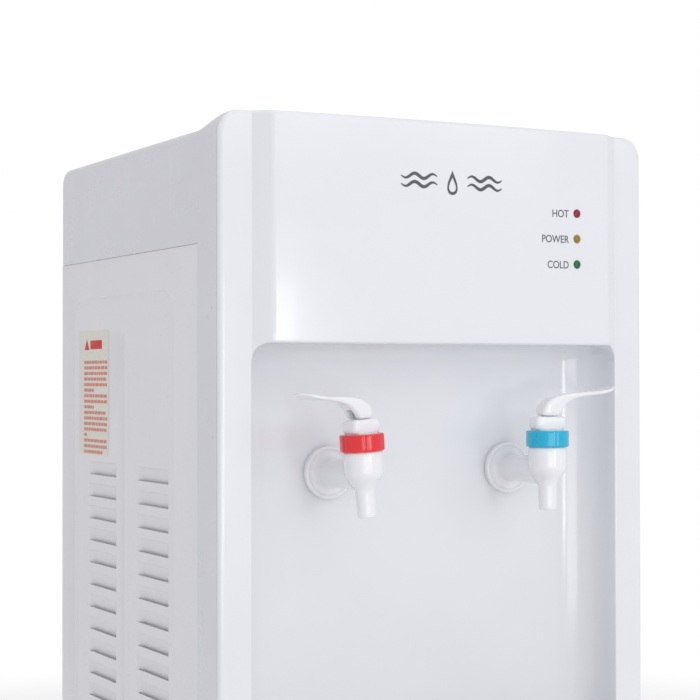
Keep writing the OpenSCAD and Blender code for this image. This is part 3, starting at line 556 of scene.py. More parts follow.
def panel_column(x):
    """Points up one column: niche wall, cove, ceiling, brow edge, front face, top roll."""
    wall, face, head, top = niche_depth(x), bow(x), niche_head(x), brow_top(x)
    depth = wall - face
    cove, edge = min(10.0, 0.5 * depth), min(1.6, 0.4 * depth)
    points = [(wall, PANEL_BOTTOM + (head - cove - PANEL_BOTTOM) * t)
              for t in (0, 0.08, 0.2, 0.35, 0.5, 0.65, 0.8, 0.92, 1)]
    points += [(wall - cove + y, head - cove + z) for y, z in arc(0, 0, cove, 0, 90, 7)[1:]]
    points += [(face + edge - y, head + edge - z) for z, y in arc(0, 0, edge, 90, 0, 5)][::-1]
    points += [(face, head + edge + (top - 3 - head - edge) * t) for t in (0.06, 0.2, 0.4, 0.6, 0.8, 0.94)]
    points += [(face, top - d) for d in (3, 2.5, 2, 1.5, 1, 0.6, 0.3, 0.1, 0)]
    return [(x, y + edge_roll(x, z), z) for y, z in points] + [(x, 3.0, top)]


def front_panel():
    """Posts, brow, bowed middle panel and niche in one skin."""
    build = Build()
    build.grid([panel_column(x) for x in panel_columns()])
    obj = thicken(to_mesh("front_panel", build), WALL)
    stand_in(obj, "cabinet", WHITE, 34)


# ---------------- cabinet shell

SEAM = 0.4  # gap behind the front panel


def shell_profile():
    """The shell's top and rear as (y, z) points, from the seam back and down."""
    points = [(3 + SEAM, BODY_H), (5.5, BODY_H), (8.0, BODY_H)]
    points += [(8 + 32 * i / 14, FLAT_TOP + BROW_DROP * (1 - ease(i / 14))) for i in range(1, 15)]
    points += [(y, FLAT_TOP) for y in (55, 110, 160, 210, 260)]
    points += arc(BODY_D - 12, FLAT_TOP - 12, 12, 90, 0, 10)
    return points + [(BODY_D, FLAT_TOP - 40), (BODY_D, SIDE_TOP)]


def cabinet_shell():
    """Top, sides and rear edge in one moulding, with the hole for the bottle seat."""
    build = Build()
    profile = shell_profile()
    rows, edges = [], []
    for i, (y, z) in enumerate(profile):
        ny, nz = across(profile, i)
        r = BROW_R - (BROW_R - 5) * ease((y - 8) / 32)
        side = []
        for a in range(90, -1, -10):
            fall = r * (1 - cos(radians(a)))
            side.append((HALF_W - r + r * sin(radians(a)), y - ny * fall, z - nz * fall))
        middle = [((HALF_W - r) * k / 6, y, z) for k in range(5, -6, -1)]
        rows.append(side + middle + [(-x, yy, zz) for x, yy, zz in reversed(side)])
        edges.append(side[0][1:])
    build.grid(rows)
    outline = edges + [(LEG_D, SIDE_TOP), (LEG_D, PANEL_BOTTOM), (3 + SEAM, PANEL_BOTTOM)]
    for x in (HALF_W, -HALF_W):
        build.cap(at_x(x, outline))
    obj = thicken(to_mesh("cabinet_shell", build), WALL)
    hole = rod(SEAT_HOLE_R, FLAT_TOP - 15, FLAT_TOP + 15, 96)
    cut(obj, hole, FRONT @ Matrix.Translation((0, SEAT_Y, 0)))
    stand_in(obj, "cabinet", SHELL, 34)


# ---------------- side panels

SHEET_X = -HALF_W + 0.6
PANEL_BOX = (LEG_D + 0.3, PANEL_BOTTOM + 0.2, BODY_D - 0.6, SIDE_TOP - 0.2)
STEP = ((-2.6, 0), (-2.1, -0.16), (-1.7, -0.28), (-1.3, -0.16), (-0.9, 0.2), (-0.5, 0.8), (-0.2, 0.96),
        (0, 1.0))  # the field's edge, as inset and depth
BEAD = ((0, 0), (0.25, 0.1), (0.7, 0.6), (1.0, 0.86), (1.4, 0.95), (3.3, 0.9))  # the bead, as inset and rise
FIELD_IN = 1.0  # depth of the field


def louvre_depth(u, v):
    """Depth of a louvre at u along it and v below its top edge."""
    ends = min(max(min(u, LOUVRE_L - u) / 7.5, 0), 1)
    slope = 0.15 * min(v / 0.4, 1) + 0.37 * (v / LOUVRE_H) ** 0.9
    return LOUVRE_IN * (1 - (1 - ends) ** 2) * slope


def louvre_column(build, y0):
    """One column of louvres, pressed into the field. Returns its outline."""
    us = [-2, 0, 0.5, 1.1, 1.9, 2.9, 4.1, 5.6, 7.5, 16, 28, 40]
    us += [LOUVRE_L - u for u in reversed(us[:9])]
    vs = (0, 0.4, 1.4, 2.8, 4.4, 6.2, 7.8, LOUVRE_H)
    tops = [LOUVRE_TOP - i * LOUVRE_PITCH for i in range(LOUVRE_ROWS)]

    def row(z, v):
        return [(SHEET_X + FIELD_IN + (louvre_depth(u, v) if 0 < u < LOUVRE_L else 0), y0 + u, z) for u in us]

    top_row = row(LOUVRE_TOP + 2, 0)
    rows = [top_row]
    for top in tops:
        build.grid(rows + [row(top - v, v) for v in vs])
        build.grid([row(top - v, v)[5:-5] for v in (LOUVRE_H, LOUVRE_H + 1.5, LOUVRE_H + 2.9)])  # flap
        rows = [row(top - LOUVRE_H, 0)]
    bottom = row(LOUVRE_TOP - LOUVRE_ROWS * LOUVRE_PITCH + 3, 0)
    build.grid(rows + [bottom])
    left, right = ([(x, y, top - v) for top in tops for v in vs] for x, y, _ in (top_row[0], top_row[-1]))
    return top_row + right + bottom[::-1] + left[::-1]


def bead_column(build, y, z0, z1):
    """A shallow upright bead with round ends, on the field. Returns its outline."""
    loops = []
    for inset, rise in BEAD:
        loop = round_rect((y - 3.5 + inset, z0 + inset), (y + 3.5 - inset, z1 - inset), 3.48 - inset, 5)
        loops.append(at_x(SHEET_X + FIELD_IN - rise, loop))
    build.grid(loops, closed=True)
    build.cap(loops[-1])
    return loops[0]


def side_panel(side):
    """One coated steel side with its recessed field, louvres, bead and rear flange."""
    build = Build()
    y0, z0, y1, z1 = FIELD
    loops = []
    for inset, depth in STEP:
        loop = round_rect((y0 + inset, z0 + inset), (y1 - inset, z1 - inset), FIELD_R - inset, 10)
        loops.append(at_x(SHEET_X + depth, loop))
    build.grid(loops, closed=True)
    front, bottom, back, top = PANEL_BOX
    fold = 1.2
    bend = back - fold
    build.cap(at_x(SHEET_X, ((front, bottom), (bend, bottom), (bend, top), (front, top))), [loops[0]])
    flange = [(SHEET_X + fold - x, bend + y) for x, y in arc(0, 0, fold, 0, 90, 5)]
    flange += [(SHEET_X + 8, back), (SHEET_X + 16, back)]
    build.grid([at_z(z, flange) for z in (bottom, top)])
    holes = [louvre_column(build, y) for y in LOUVRE_Y]
    holes.append(bead_column(build, BEAD_Y, z0 + 14, z1 - 24))
    build.cap(loops[-1], holes)
    if side == "right":
        build.verts = [(-x, y, z) for x, y, z in build.verts]
    obj = thicken(to_mesh(side + "_side_panel", build), 0.8, even=False)
    stand_in(obj, "cabinet", STEEL, 24)


LABEL_X = SHEET_X + 0.93
LABEL_BOX = (193.5, 254.5, 295.0, 382.0)
LABEL_SIGN = ((233, 368.6), (243, 368.6), (238, 376.2))
ROW_END, ROW_L, ROW_TOP, ROW_PITCH = 244.0, 48, 358.7, 3.95
LABEL_ROWS = {5: 0.45, 8: 0.45, 13: 0.2, 16: 0.8}  # length of the short rows, as a share of a full one


def patch(build, y0, y1, z0, z1, lift, r=0.5):
    """A thin closed sheet on the left side's label."""
    loops = []
    for inset, rise in ((0, 0.02), (0, 0.06), (0.06, 0.08)):
        loop = round_rect((y0 + inset, z0 + inset), (y1 - inset, z1 - inset), r, 2)
        loops.append(at_x(LABEL_X - lift - rise, loop))
    build.loft(loops)


def side_label():
    """A plain sticker on the left side: a red sign, a head bar and rows of bars, with no lettering."""
    rng = random.Random(7)
    paper, red, ink = Build(), Build(), Build()
    patch(paper, *LABEL_BOX, 0, 2.0)
    patch(red, 207, 231, 369, 375.2, 0.08)
    red.loft([at_x(LABEL_X - lift, LABEL_SIGN) for lift in (0.1, 0.16)])
    for row in range(17):
        z = ROW_TOP - ROW_PITCH * row
        end, stop = ROW_END, ROW_END - ROW_L * LABEL_ROWS.get(row, 1.0) + rng.uniform(0, 1.5)
        while end > stop + 2.5:
            length = rng.uniform(3, 8)
            patch(ink, max(end - length, stop), end, z, z + 2.2, 0.08, 0.3)
            end -= length + 0.8
    for name, build, material in (("side_label", paper, LABEL_PAPER), ("side_label_bar", red, LABEL_RED),
                                  ("side_label_rows", ink, LABEL_INK)):
        piece(to_mesh(name, build), "cabinet", material)


# ---------------- taps

def tap_frame(name):
    """A tap's own frame: Z up its spout's axis, +Y along its shank into the cabinet, 0 on the shank."""
    x = -TAP_X if name == "hot" else TAP_X
    return (FRONT @ Matrix.Translation((x, -TAP_OUT, TAP_Z))
            @ Matrix.Rotation(radians(-LEAN[name]), 4, "Y"))


def turned_frame(name):
    """The frame of a tap's turning cap and lever, at rest."""
    return tap_frame(name) @ Matrix.Rotation(radians(TURN[name]), 4, "Z")


def bell(n=12):
    """The body's outline where it draws in to the nozzle."""
    return [(12.3 - 6.1 * ease(i / n) ** 0.9, 2.5 - 12.5 * i / n) for i in range(n + 1)]


def tap_body(name):
    """Body, bell, nozzle and shank in one moulding, with a soft fillet where the shank leaves."""
    outer = [(11.0, 20.8), (11.0, 15.2), (12.1, 14.9), (12.45, 13.5), (12.5, 9)] + bell()
    outer += [(6.1, -14), (5.9, -20), (5.8, -24.2), (5.6, -24.9), (5.2, -25.2), (4.0, -25.2), (3.5, -24.9)]
    inner = [(3.4, -24), (3.4, -8.2), (8.6, -3), (8.6, 20.8)]
    obj = to_mesh(name + "_tap_body", Build().lathe(outer + inner + outer[:1], 72), OWN)
    shank = [(0, 6), (9.2, 6), (9.0, 14)]
    shank += [(8.9, SHANK_END - 5), (9.0, SHANK_END - 2), (9.4, SHANK_END), (0, SHANK_END)]
    cut(obj, along_y(Build().lathe(shank, 56)), OWN, "UNION")
    modify(obj, "REMESH", mode="VOXEL", voxel_size=0.5)
    modify(obj, "SMOOTH", factor=0.5, iterations=5)
    obj.data.transform(tap_frame(name))
    stand_in(obj, "cabinet", TAP, 60)


def tap_flange(name):
    """Wall flange with a raised rim and a recessed ring, and the threaded shank behind it."""
    p = PANEL_Y - 1.6
    profile = [(0, -6.5), (8.6, -6.5), (9.4, -4.2), (10.4, -2.7), (11.5, -2.3), (13.6, -2.3), (14.3, -2.7)]
    profile += [(14.7, -3.3), (15.4, -3.6)] + arc(15.7, -2.5, 1.1, -80, 0, 4)
    profile += [(16.8, -0.3), (16.4, 0), (8.2, 0)]
    z = 4.2
    while z < 15:  # thread
        profile += [(8.2, z), (7.5, z + 0.7), (8.2, z + 1.4)]
        z += 1.6
    profile += [(7.6, 17), (5.2, 17.4), (5.2, 26), (6.0, 26), (4.6, 29.5), (4.0, 29.5), (4.0, -5), (0, -5)]
    build = Build().lathe([(r, p + y) for r, y in profile], 72)
    obj = to_mesh(name + "_tap_flange", along_y(build), tap_frame(name))
    piece(obj, "cabinet", TAP, 40)


def tap_ring(name):
    """Coloured ring with six shallow upright flutes."""
    def fluted(r, z, a):
        if r < 13.2:
            return r
        off = (degrees(a) - FLUTE[name]) % 60
        off = min(off, 60 - off) * pi / 180 * 13.7
        return r - 0.42 * exp(-(off / 0.75) ** 2)

    profile = [(11.1, 15.3), (13.0, 15.3)] + arc(13.0, 16.1, 0.7, -90, 0, 4)[1:]
    profile += [(13.7, 18), (13.7, 21), (13.7, 24.2)] + arc(12.6, 24.7, 1.1, 0, 90, 5)
    profile += [(10.8, 25.8), (10.35, 25.5), (10.35, 24.2), (11.1, 24.1), (11.1, 15.3)]
    obj = to_mesh(name + "_tap_ring", Build().lathe(profile, 240, fluted), tap_frame(name))
    stand_in(obj, "cabinet", RED if name == "hot" else BLUE, 35)


# Inset of the turning cap's block, by height.
CAP_SIDES = ((26.1, 1.1), (26.5, 0.7), (27.4, 0.3), (29, 0.05), (31, 0), (32.6, 0.15), (33.7, 0.5),
             (34.4, 1.0), (34.8, 1.7), (34.9, 2.4))
COLLAR = ((0, 21.3), (10.6, 21.3), (10.75, 21.5), (10.75, 23.6), (10.6, 23.8), (10.0, 23.9), (10.0, 26.3),
          (0, 26.3))


def rectangle(x0, x1, half):
    """Corners of a flat rectangle from X = x0 to x1, half as deep on each side of the axis."""
    return ((x0, -half), (x1, -half), (x1, half), (x0, half))


def tap_guide(name):
    """Turning cap over the ring: a block with soft sides on a collar, bored and slotted for the stem."""
    obj = to_mesh(name + "_tap_guide", Build().lathe(COLLAR, 72), OWN)
    w, d = CAP_HALF
    block = Build().loft([at_z(z, round_rect((i - w, i - d), (w - i, d - i), 2.6, 6)) for z, i in CAP_SIDES])
    cut(obj, block, OWN, "UNION")
    cut(obj, rod(3.08, 20, 36, 48), OWN)
    cut(obj, slab(rectangle(-4.2, 4.2, 3.4), 27.5, 38), OWN)
    obj.data.transform(turned_frame(name))
    stand_in(obj, name + "_guide", TAP, 35)


# Lever, by distance from the spout's axis: half width, top and underside.
LEVER_WIDTH = ((-5.8, 4.6), (-4.8, 5.8), (-3, 6.5), (0, 6.7), (5, 6.7), (9, 6.3), (14, 5.6), (19, 5.3),
               (25, 6.2), (31, 8.2), (36.5, 9.8), (39.5, 10.0), (43, 9.0), (45.6, 6.6), (47.3, 3.6),
               (48, 1.0))
LEVER_TOP = ((-5.8, 37.5), (-5.4, 39.8), (-4.2, 42.2), (-2, 44.5), (1.5, 46.5), (6, 48.1), (12, 49.3),
             (20, 50.0), (32, 50.9), (40, 52.0), (45, 53.3), (48, 54.0))
LEVER_UNDER = ((-5.8, 36.4), (-5.2, 35.6), (-4.4, 35.3), (5.0, 35.3), (6.2, 36.4), (8.4, 39.5), (10.8, 42.1),
               (15, 44.9), (21, 47.0), (27, 48.0), (34, 48.9), (41, 50.4), (45, 51.9), (48, 53.2))


def lever_loop(u):
    """Cross-section of the lever at u along it, a rectangle with round corners."""
    w, top, under = (blend_curve(curve, u) for curve in (LEVER_WIDTH, LEVER_TOP, LEVER_UNDER))
    r = 0.45 * min(2 * w, top - under, 5.0)
    return [(u, y, z) for y, z in round_rect((-w, under), (w, top), r, 5)]


def tap_lever(name):
    """Lever handle, slotted below and round its pin for the stem's eye."""
    stations = [-5.8, -5.6, -5.2, -4.8, -4.2, -3.4, -2.4, -1, 1, 3, 4.4, 5.0, 5.6, 6.2, 7, 8, 9, 10, 11, 12.4,
                14, 16, 18.5, 21, 24, 27, 30, 33, 36, 38.5, 41, 43, 44.6, 45.8, 46.8, 47.4, 47.8, 48]
    obj = to_mesh(name + "_tap_lever", Build().loft([lever_loop(u) for u in stations]), OWN)
    modify(obj, "SUBSURF", levels=1, render_levels=1)
    eye = arc(0, PIN_Z, EYE_R, 0, 360, 32)[:-1]
    cut(obj, Build().loft([[(x, y, z) for x, z in eye] for y in (-FORK, FORK)]), OWN)
    cut(obj, slab(rectangle(-EYE_R, 14, FORK), 30, PIN_Z + 0.2), OWN)
    obj.data.transform(turned_frame(name))
    stand_in(obj, name + "_lever", TAP, 46)


def tap_spring(name):
    """Return spring round the stem, with closed ends."""
    turns, z0, z1, coil, wire = 5, 7.1, 20.1, 5.4, 0.55
    section = arc(0, 0, wire, 0, 360, 8)[:-1]
    rows = []
    for i in range(turns * 24 + 1):
        t = i / (turns * 24)
        a = 2 * pi * turns * t
        lift = z0 + (z1 - z0) * (t - 0.58 * sin(2 * pi * t) / (2 * pi))
        rows.append([((coil + out) * cos(a), (coil + out) * sin(a), lift + up)
                     for out, up in section])
    obj = to_mesh(name + "_tap_spring", Build().loft(rows), tap_frame(name))
    stand_in(obj, name + "_guide", CHROME, 50)
    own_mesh(obj)


def taps():
    for name in ("hot", "cold"):
        tap_body(name)
        tap_flange(name)
        tap_ring(name)
        tap_guide(name)
        tap_lever(name)
        tap_spring(name)


# ---------------- drip tray

def shelf_loop(inset, z):
    """Outline of the shelf in plan, in by inset, at height z."""
    cx, cy, x, r = INNER_X - NICHE_R, NICHE_D - NICHE_R, INNER_X - 0.3 - inset, 45 - inset
    right = arc(cx, cy, NICHE_R - 0.3 - inset, 90, 0, 10) + arc(x - r, -SHELF_OUT + inset + r, r, 0, -90, 14)
    return [(px, py, z) for px, py in right] + [(-px, py, z) for px, py in reversed(right)]


def tray_loop(grow, z):
    """Outline of the tray's mouth, out by grow, at height z."""
    lo = [v - grow for v in TRAY_LO]
    hi = [v + grow for v in TRAY_HI]
    return at_z(z, round_rect(lo, hi, TRAY_R + grow, 8))


def drip_shelf():
    """Ledge in front of the niche, with the tray's opening in it."""
    build = Build()
    top, r, lip = SHELF_TOP, 3.5, 0.9
    loops = [shelf_loop(0, 10), shelf_loop(0, 24), shelf_loop(0, 60)]
    loops += [shelf_loop(r - y, top - r + z) for y, z in arc(0, 0, r, 0, 90, 7)]
    build.grid(loops, closed=True)
    profile = arc(lip, -lip, lip, 90, 180, 4) + [(0, -12), (0, -24), (-1, -25)]
    recess = [tray_loop(grow, top + z) for grow, z in profile]
    build.grid(recess, closed=True)
    build.cap(loops[-1], [recess[0]])
    build.cap(recess[-1])
    obj = thicken(to_mesh("drip_shelf", build), 2.4)
    cut(obj, slab(((-HALF_W, -0.3), (HALF_W, -0.3), (HALF_W, 40), (-HALF_W, 40)), 0, PANEL_BOTTOM))
    stand_in(obj, "cabinet", WHITE)


def drip_tray():
    """Pan that hangs in the shelf by its rolled rim."""
    profile = [(-1.7, -24), (-0.9, -23.2), (-0.7, -12), (-0.7, 0.3), (3.7, 0.3), (4, 0.6)]
    profile += arc(2.6, 0.8, 1.4, 0, 90, 6) + arc(-0.6, 1.6, 0.6, 90, 180, 4)
    profile += [(-1.4, -1.2), (-2.7, -1.2), (-2.7, -19)] + arc(-5.7, -19, 3, 0, -90, 5)
    build = Build().loft([tray_loop(grow, SHELF_TOP + z) for grow, z in profile])
    stand_in(to_mesh("drip_tray", build), "drip_tray", SHELL)


def drip_grille():
    """Pressed plate with rolled slot edges and a turned-down rim."""
    build, top, r, under = Build(), SHELF_TOP + 2.4, 0.7, -3.2
    rim = [tray_loop(grow, top + z) for grow, z in [(-2, under), (-2, -1)] + arc(-3, -1, 1, 0, 90, 5)]
    build.grid(rim, closed=True)
    holes, unders = [], []
    for y0, y1, i in ((y0, y1, i) for y0, y1 in ((-38, -17), (-11, 10)) for i in range(-12, 13)):
        loops = []
        for out, z in arc(r, -r, r, 90, 180, 4) + [(0, under)]:
            half = 1.9 + out
            loop = round_rect((8.2 * i - half, y0 - out), (8.2 * i + half, y1 + out), 1.85 + out, 4)
            loops.append(at_z(top + z, loop))
        build.grid(loops, closed=True)
        holes.append(loops[0])
        unders.append(loops[-1])
    build.cap(rim[-1], holes)
    build.cap(rim[0], unders)
    stand_in(to_mesh("drip_grille", build), "drip_grille", STAINLESS)


# ---------------- bottle seat

SEAT = FRONT @ Matrix.Translation((0, SEAT_Y, FLAT_TOP))
BOWL_FLOOR = ((38, -41.2), (60, -39.2), (79, -35.4), (86, -31.4))
RIB = ((41, 0), (42, 2.2), (46, 3.0), (60, 3.0), (74, 2.6), (80, 0.4))  # distance out and height


def seat_profile():
    """Half of the seat's section: rim, bowl, the collar for the bottle's neck, and back underneath."""
    rim = [(101.5, 0.3), (109.6, 0.3)] + arc(108.6, 1.2, 1.2, -20, 90, 5) + [(107.6, 2.6), (107.0, 2.7)]
    rim += [(106.9, 2.5), (103.6, 2.5), (103.4, 2.7), (101.6, 1.9), (100.6, 0.4)]
    bowl = [(97, -8), (93, -17), (89, -25.5), (86, -31), (83.2, -33.8), (79, -35.2), (70, -37.2), (60, -39)]
    bowl += [(50, -40.2), (42, -41), (39, -41), (37.4, -39.8), (36.6, -37.5), (36.5, -30), (36.5, -22.4)]
    collar = [(36.2, -21.4), (35.5, -20.6), (34.6, -20.4), (33.2, -20.4), (32, -20.6), (31.2, -21.3)]
    collar += [(31, -22.3), (31, -33), (31, -44.4)]
    return rim + bowl + collar + [(34, -44.4), (60, -41.8), (79, -38.3), (85.4, -36.6), (101.5, 0.3)]


def bottle_seat():
    """Rim, bowl with radial ribs, and the collar that holds the bottle's neck."""
    build = Build().lathe(seat_profile(), 192)
    wide, narrow, sunk = 1.25, 0.9, 0.4
    for k in range(12):
        a = radians(30 * k + 15)
        loops = []
        for r, h in RIB:
            base = blend_curve(BOWL_FLOOR, r) - sunk
            head = base + sunk + h
            section = ((-wide, base), (wide, base), (narrow, head), (-narrow, head))
            loops.append([(r * cos(a) - s * sin(a), r * sin(a) + s * cos(a), z)
                          for s, z in section])
        build.loft(loops)
    stand_in(to_mesh("bottle_seat", build, SEAT), "bottle_seat", WHITE, 30)


def seat_gasket():
    """Foam ring on the rim, with a seam of small ridges."""
    profile = [(103.6, 2.9), (106.8, 2.9)] + arc(105.2, 3.1, 1.6, 0, 180, 10) + [(103.6, 2.9)]
    build = Build().lathe(profile, 240, lambda r, z, a: r + 0.06 * sin(80 * a) * (z > 3.6))
    stand_in(to_mesh("bottle_seat_gasket", build, SEAT), "bottle_seat", RUBBER)


# ---------------- lamps and print

def lamp(name, z):
    """Domed lens on a stepped flange, in a thin ring."""
    profile = [(0, -9), (3.6, -9), (3.6, -3.4), (2.9, -3.2), (2.95, -0.5)]
    profile += [(2.95 * out, -0.5 + 1.75 * up) for out, up in arc(0, 0, 1, 0, 90, 12)[1:]]
    place = FRONT @ Matrix.Translation((LAMP_X, bow(LAMP_X), z)) @ Matrix.Rotation(radians(90), 4, "X")
    lens_mesh = to_mesh("lamp_" + name, Build().lathe(profile, 64), place)
    stand_in(lens_mesh, "cabinet", LENSES[name], 30)
    ring = [(2.98, 0.08)] + arc(3.06, 0.05, 0.08, 180, 0, 4) + [(3.14, -0.4), (2.98, -0.4), (2.98, 0.08)]
    piece(to_mesh("lamp_" + name + "_collar", Build().lathe(ring, 64), place), "cabinet", WHITE)


def on_panel(obj, lift=0.05):
    """Bends a flat print, drawn in X and Z, on to the bowed front face."""
    for v in obj.data.vertices:
        x = v.co.x / MM
        v.co.y = (PAN_LO.y + bow(x) - lift + v.co.y / MM) * MM
    return obj


def word(text, right, z, height):
    """A plain word with its right end at X = right, printed on the front face."""
    curve = bpy.data.curves.new("print_" + text.lower(), "FONT")
    curve.body = text
    curve.align_x = "RIGHT"
    curve.size = height * MM / 0.7
    curve.offset = 0.00003
    curve.extrude = 0.00005
    curve.space_character = 0.98
    obj = link(curve.name, curve)
    obj.rotation_euler = (radians(90), 0, 0)
    obj.scale.x = 0.93
    obj.location = (right * MM, 0, (z - height / 2) * MM)
    bpy.context.view_layer.update()
    mesh = bpy.data.meshes.new_from_object(obj.evaluated_get(bpy.context.evaluated_depsgraph_get()))
    mesh.transform(obj.matrix_world)
    name = obj.name
    bpy.data.objects.remove(obj)
    rework(mesh, weld=1e-7, outwards=False)
    piece(on_panel(link(name, mesh)), "cabinet", INK)


def ribbon(build, points, width):
    """A flat stroke through (x, z) points, tapering at both ends."""
    left, right = [], []
    for i, (x, z) in enumerate(points):
        w = width / 2 * sqrt(sin(pi * (i + 0.5) / len(points)))
        nx, nz = (w * n for n in across(points, i))
        left.append((x + nx, 0, z + nz))
        right.append((x - nx, 0, z - nz))
    build.grid([left, right])


def droplet_mark(z):
    """A generic mark in the middle of the brow: a drop between two waves."""
    build = Build()
    drop = []
    for k in range(40):
        a = 2 * pi * k / 40
        pinch = sin(a / 2) ** 1.5
        drop.append((5.4 * sin(a) * pinch, 0, z - 7.8 * cos(a - pi) - 0.6))
    inner = [(x * 0.66, 0, z - 2.0 + (q - z + 1.0) * 0.6) for x, _, q in drop]
    build.grid([drop, inner], closed=True)
    for s in (-1, 1):
        for dz in (-2.6, 2.6):
            wave = [(s * (11 + 26 * i / 30), z + dz + 1.5 * sin(2 * pi * i / 15)) for i in range(31)]
            ribbon(build, wave, 2.2)
    obj = thicken(to_mesh("brow_mark", build, Matrix.Scale(MM, 4)), 0.05)
    piece(on_panel(obj), "cabinet", INK)


def panel_print():
    """The lamps' names, and the mark over the taps."""
    for name, z in zip(LAMPS, LAMP_Z):
        word(name.upper(), LAMP_X - LAMP_R - 3.6, z - 0.45, 4.8)
    droplet_mark(MARK_Z)


# ---------------- feet and rear fittings

REAR = BODY_D - 1.8  # the back panel's outer face
FOOT = ((0, 0.6), (5.6, 0.6), (6.2, 0.1), (8.9, 0), (9.4, 0.5), (9.6, 2.2), (9.2, 2.6), (9.9, 3.2),
        (9.5, 3.8), (10.2, 4.4), (9.9, 5.0), (10.7, 5.6), (11, 6.6), (11, 7.95), (0, 7.95))
# The rest are measured back from the back panel's outer face, or from the drain cap's end.
BUMPER = ((0, -8), (3, -8), (3, 0.1), (8.4, 0.1), (9, 0.8), (9, 10.8), (8.6, 11.8), (7.9, 12.4), (8.1, 13.2),
          (7.6, 14.3), (6.6, 14.8), (4.2, 14.7), (3.6, 14.0), (0, 14.0))
GLAND = ((3.7, -9), (7.6, -9), (8, -8.6), (8, 0), (10.6, 0), (11, 0.5), (11, 2.4), (10.4, 3.0), (7.5, 3.1),
         (7.3, 4.2), (6.6, 4.7), (7.1, 5.4), (6.5, 6.0), (7.0, 6.8), (6.6, 8.4), (6.0, 9), (4.3, 9),
         (3.7, 8.5), (3.7, -9))
CAP_L = 13.4
DRAIN_CAP = ((8.9, -3.3), (8.9, -CAP_L), (11.4, -CAP_L), (11.8, 0.5 - CAP_L), (11.95, 1.4 - CAP_L),
             (11.95, -5), (11.9, -2.2), (11.5, -1.0), (10.6, -0.2), (9.2, 0), (5.5, -0.1), (5.0, -0.5),
             (0, -0.5), (0, -3.3), (8.9, -3.3))


def feet():
    """Rubber feet with a ribbed waist and a hollow sole."""
    build = Build()
    foot = Build().lathe(FOOT, 48)
    for x in (-FOOT_X, FOOT_X):
        for y in (FOOT_IN, BODY_D - FOOT_IN):
            build.copy(foot, x, y, 0)
    stand_in(to_mesh("rubber_feet", build), "cabinet", RUBBER, 35)


def rear_lathe(name, profile, start, x, z, body, material, steps=56, radius=None):
    """A part turned about an axis that points back. The profile's height is measured from Y = start."""
    build = along_y(Build().lathe([(r, start + y) for r, y in profile], steps, radius))
    place = FRONT @ Matrix.Translation((x, 0, z))
    stand_in(to_mesh(name, build, place), body, material, 34)


def knurled(r, z, a):
    """The drain cap's radius, with twelve soft grips on its side."""
    end = BODY_D + 12
    if r > 11.5 and end - CAP_L + 0.8 < z < end - 1.6:
        return r + 0.55 * (0.5 + 0.5 * cos(12 * a)) ** 3 - 0.1
    return r


def rear_fittings():
    """Drain outlet and its cap, cord gland, and the bumpers that keep the back off a wall."""
    low, high = (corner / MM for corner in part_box("drain_cap"))
    x, z = (low.x + high.x) / 2, (low.z + high.z) / 2
    rear_lathe("drain_cap", DRAIN_CAP, BODY_D + 12, x, z, "drain_cap", TAP, 144, knurled)
    outlet = [(3.4, 256), (4.6, 256), (4.6, 281), (12.6, 281), (13, 281.4), (13, REAR - 1.5)]
    outlet += [(12.6, REAR - 1.1), (8.0, REAR - 1.1)]
    y = REAR - 0.6
    while y < BODY_D + 6.6:  # thread
        outlet += [(8.5, y), (8.5, y + 0.5), (8.0, y + 0.9), (8.0, y + 1.3)]
        y += 1.7
    outlet += [(8.1, BODY_D + 7.6), (7.7, BODY_D + 8), (3.4, BODY_D + 8), (3.4, 256)]
    rear_lathe("drain_outlet", outlet, 0, x, z, "cabinet", TAP)
    rear_lathe("cord_gland", GLAND, REAR, GLAND_X, GLAND_Z, "cabinet", BLACK)
    build = Build()
    pad = along_y(Build().lathe([(r, REAR + y) for r, y in BUMPER], 48))
    for x in (-BUMPER_X, BUMPER_X):
        build.copy(pad, x, 0, BUMPER_Z)
    stand_in(to_mesh("rear_bumpers", build), "cabinet", RUBBER, 35)


def rocker(name):
    """Rocker with dished halves, tipped as the switch rests, and its two marks."""
    half = ((0, 2.7), (2, 3.0), (4.5, 3.7), (6.5, 3.95), (7.4, 3.7))
    top = [(-z, y) for z, y in half[:0:-1]] + list(half)
    under = [(7.25, -2.4), (0, -4.4), (-7.25, -2.4)]
    loops = []
    for x in (-4.6, -4.3, -2.5, 0, 2.5, 4.3, 4.6):
        dish = {4.6: -0.35, 4.3: 0, 2.5: -0.15, 0: -0.22}[abs(x)]
        loops.append([(x, y + dish, z) for z, y in top] + [(x, y, z) for z, y in under])
    place = FRONT @ Matrix.Translation((SWITCH_X, REAR - 2.4, SWITCH_Z[name]))
    place = place @ Matrix.Rotation(radians(10), 4, "X")
    body = name + "_switch"
    stand_in(to_mesh(body, Build().loft(loops), place), body, SWITCHES[name], 30)
    mark, face = Build(), 3.5
    ring = arc(0, 0, 0.9, 0, 360, 24)[:-1]
    mark.grid([[(k * x, face, k * z - 4.6) for x, z in ring] for k in (1, 0.6)], closed=True)
    mark.cap([(x, face, z) for x, z in ((-0.16, 3.6), (0.16, 3.6), (0.16, 5.6), (-0.16, 5.6))])
    piece(thicken(to_mesh(body + "_mark", mark, place), 0.06, 1), body, LABEL_PAPER)


# ---------------- carried-over CAD nodes

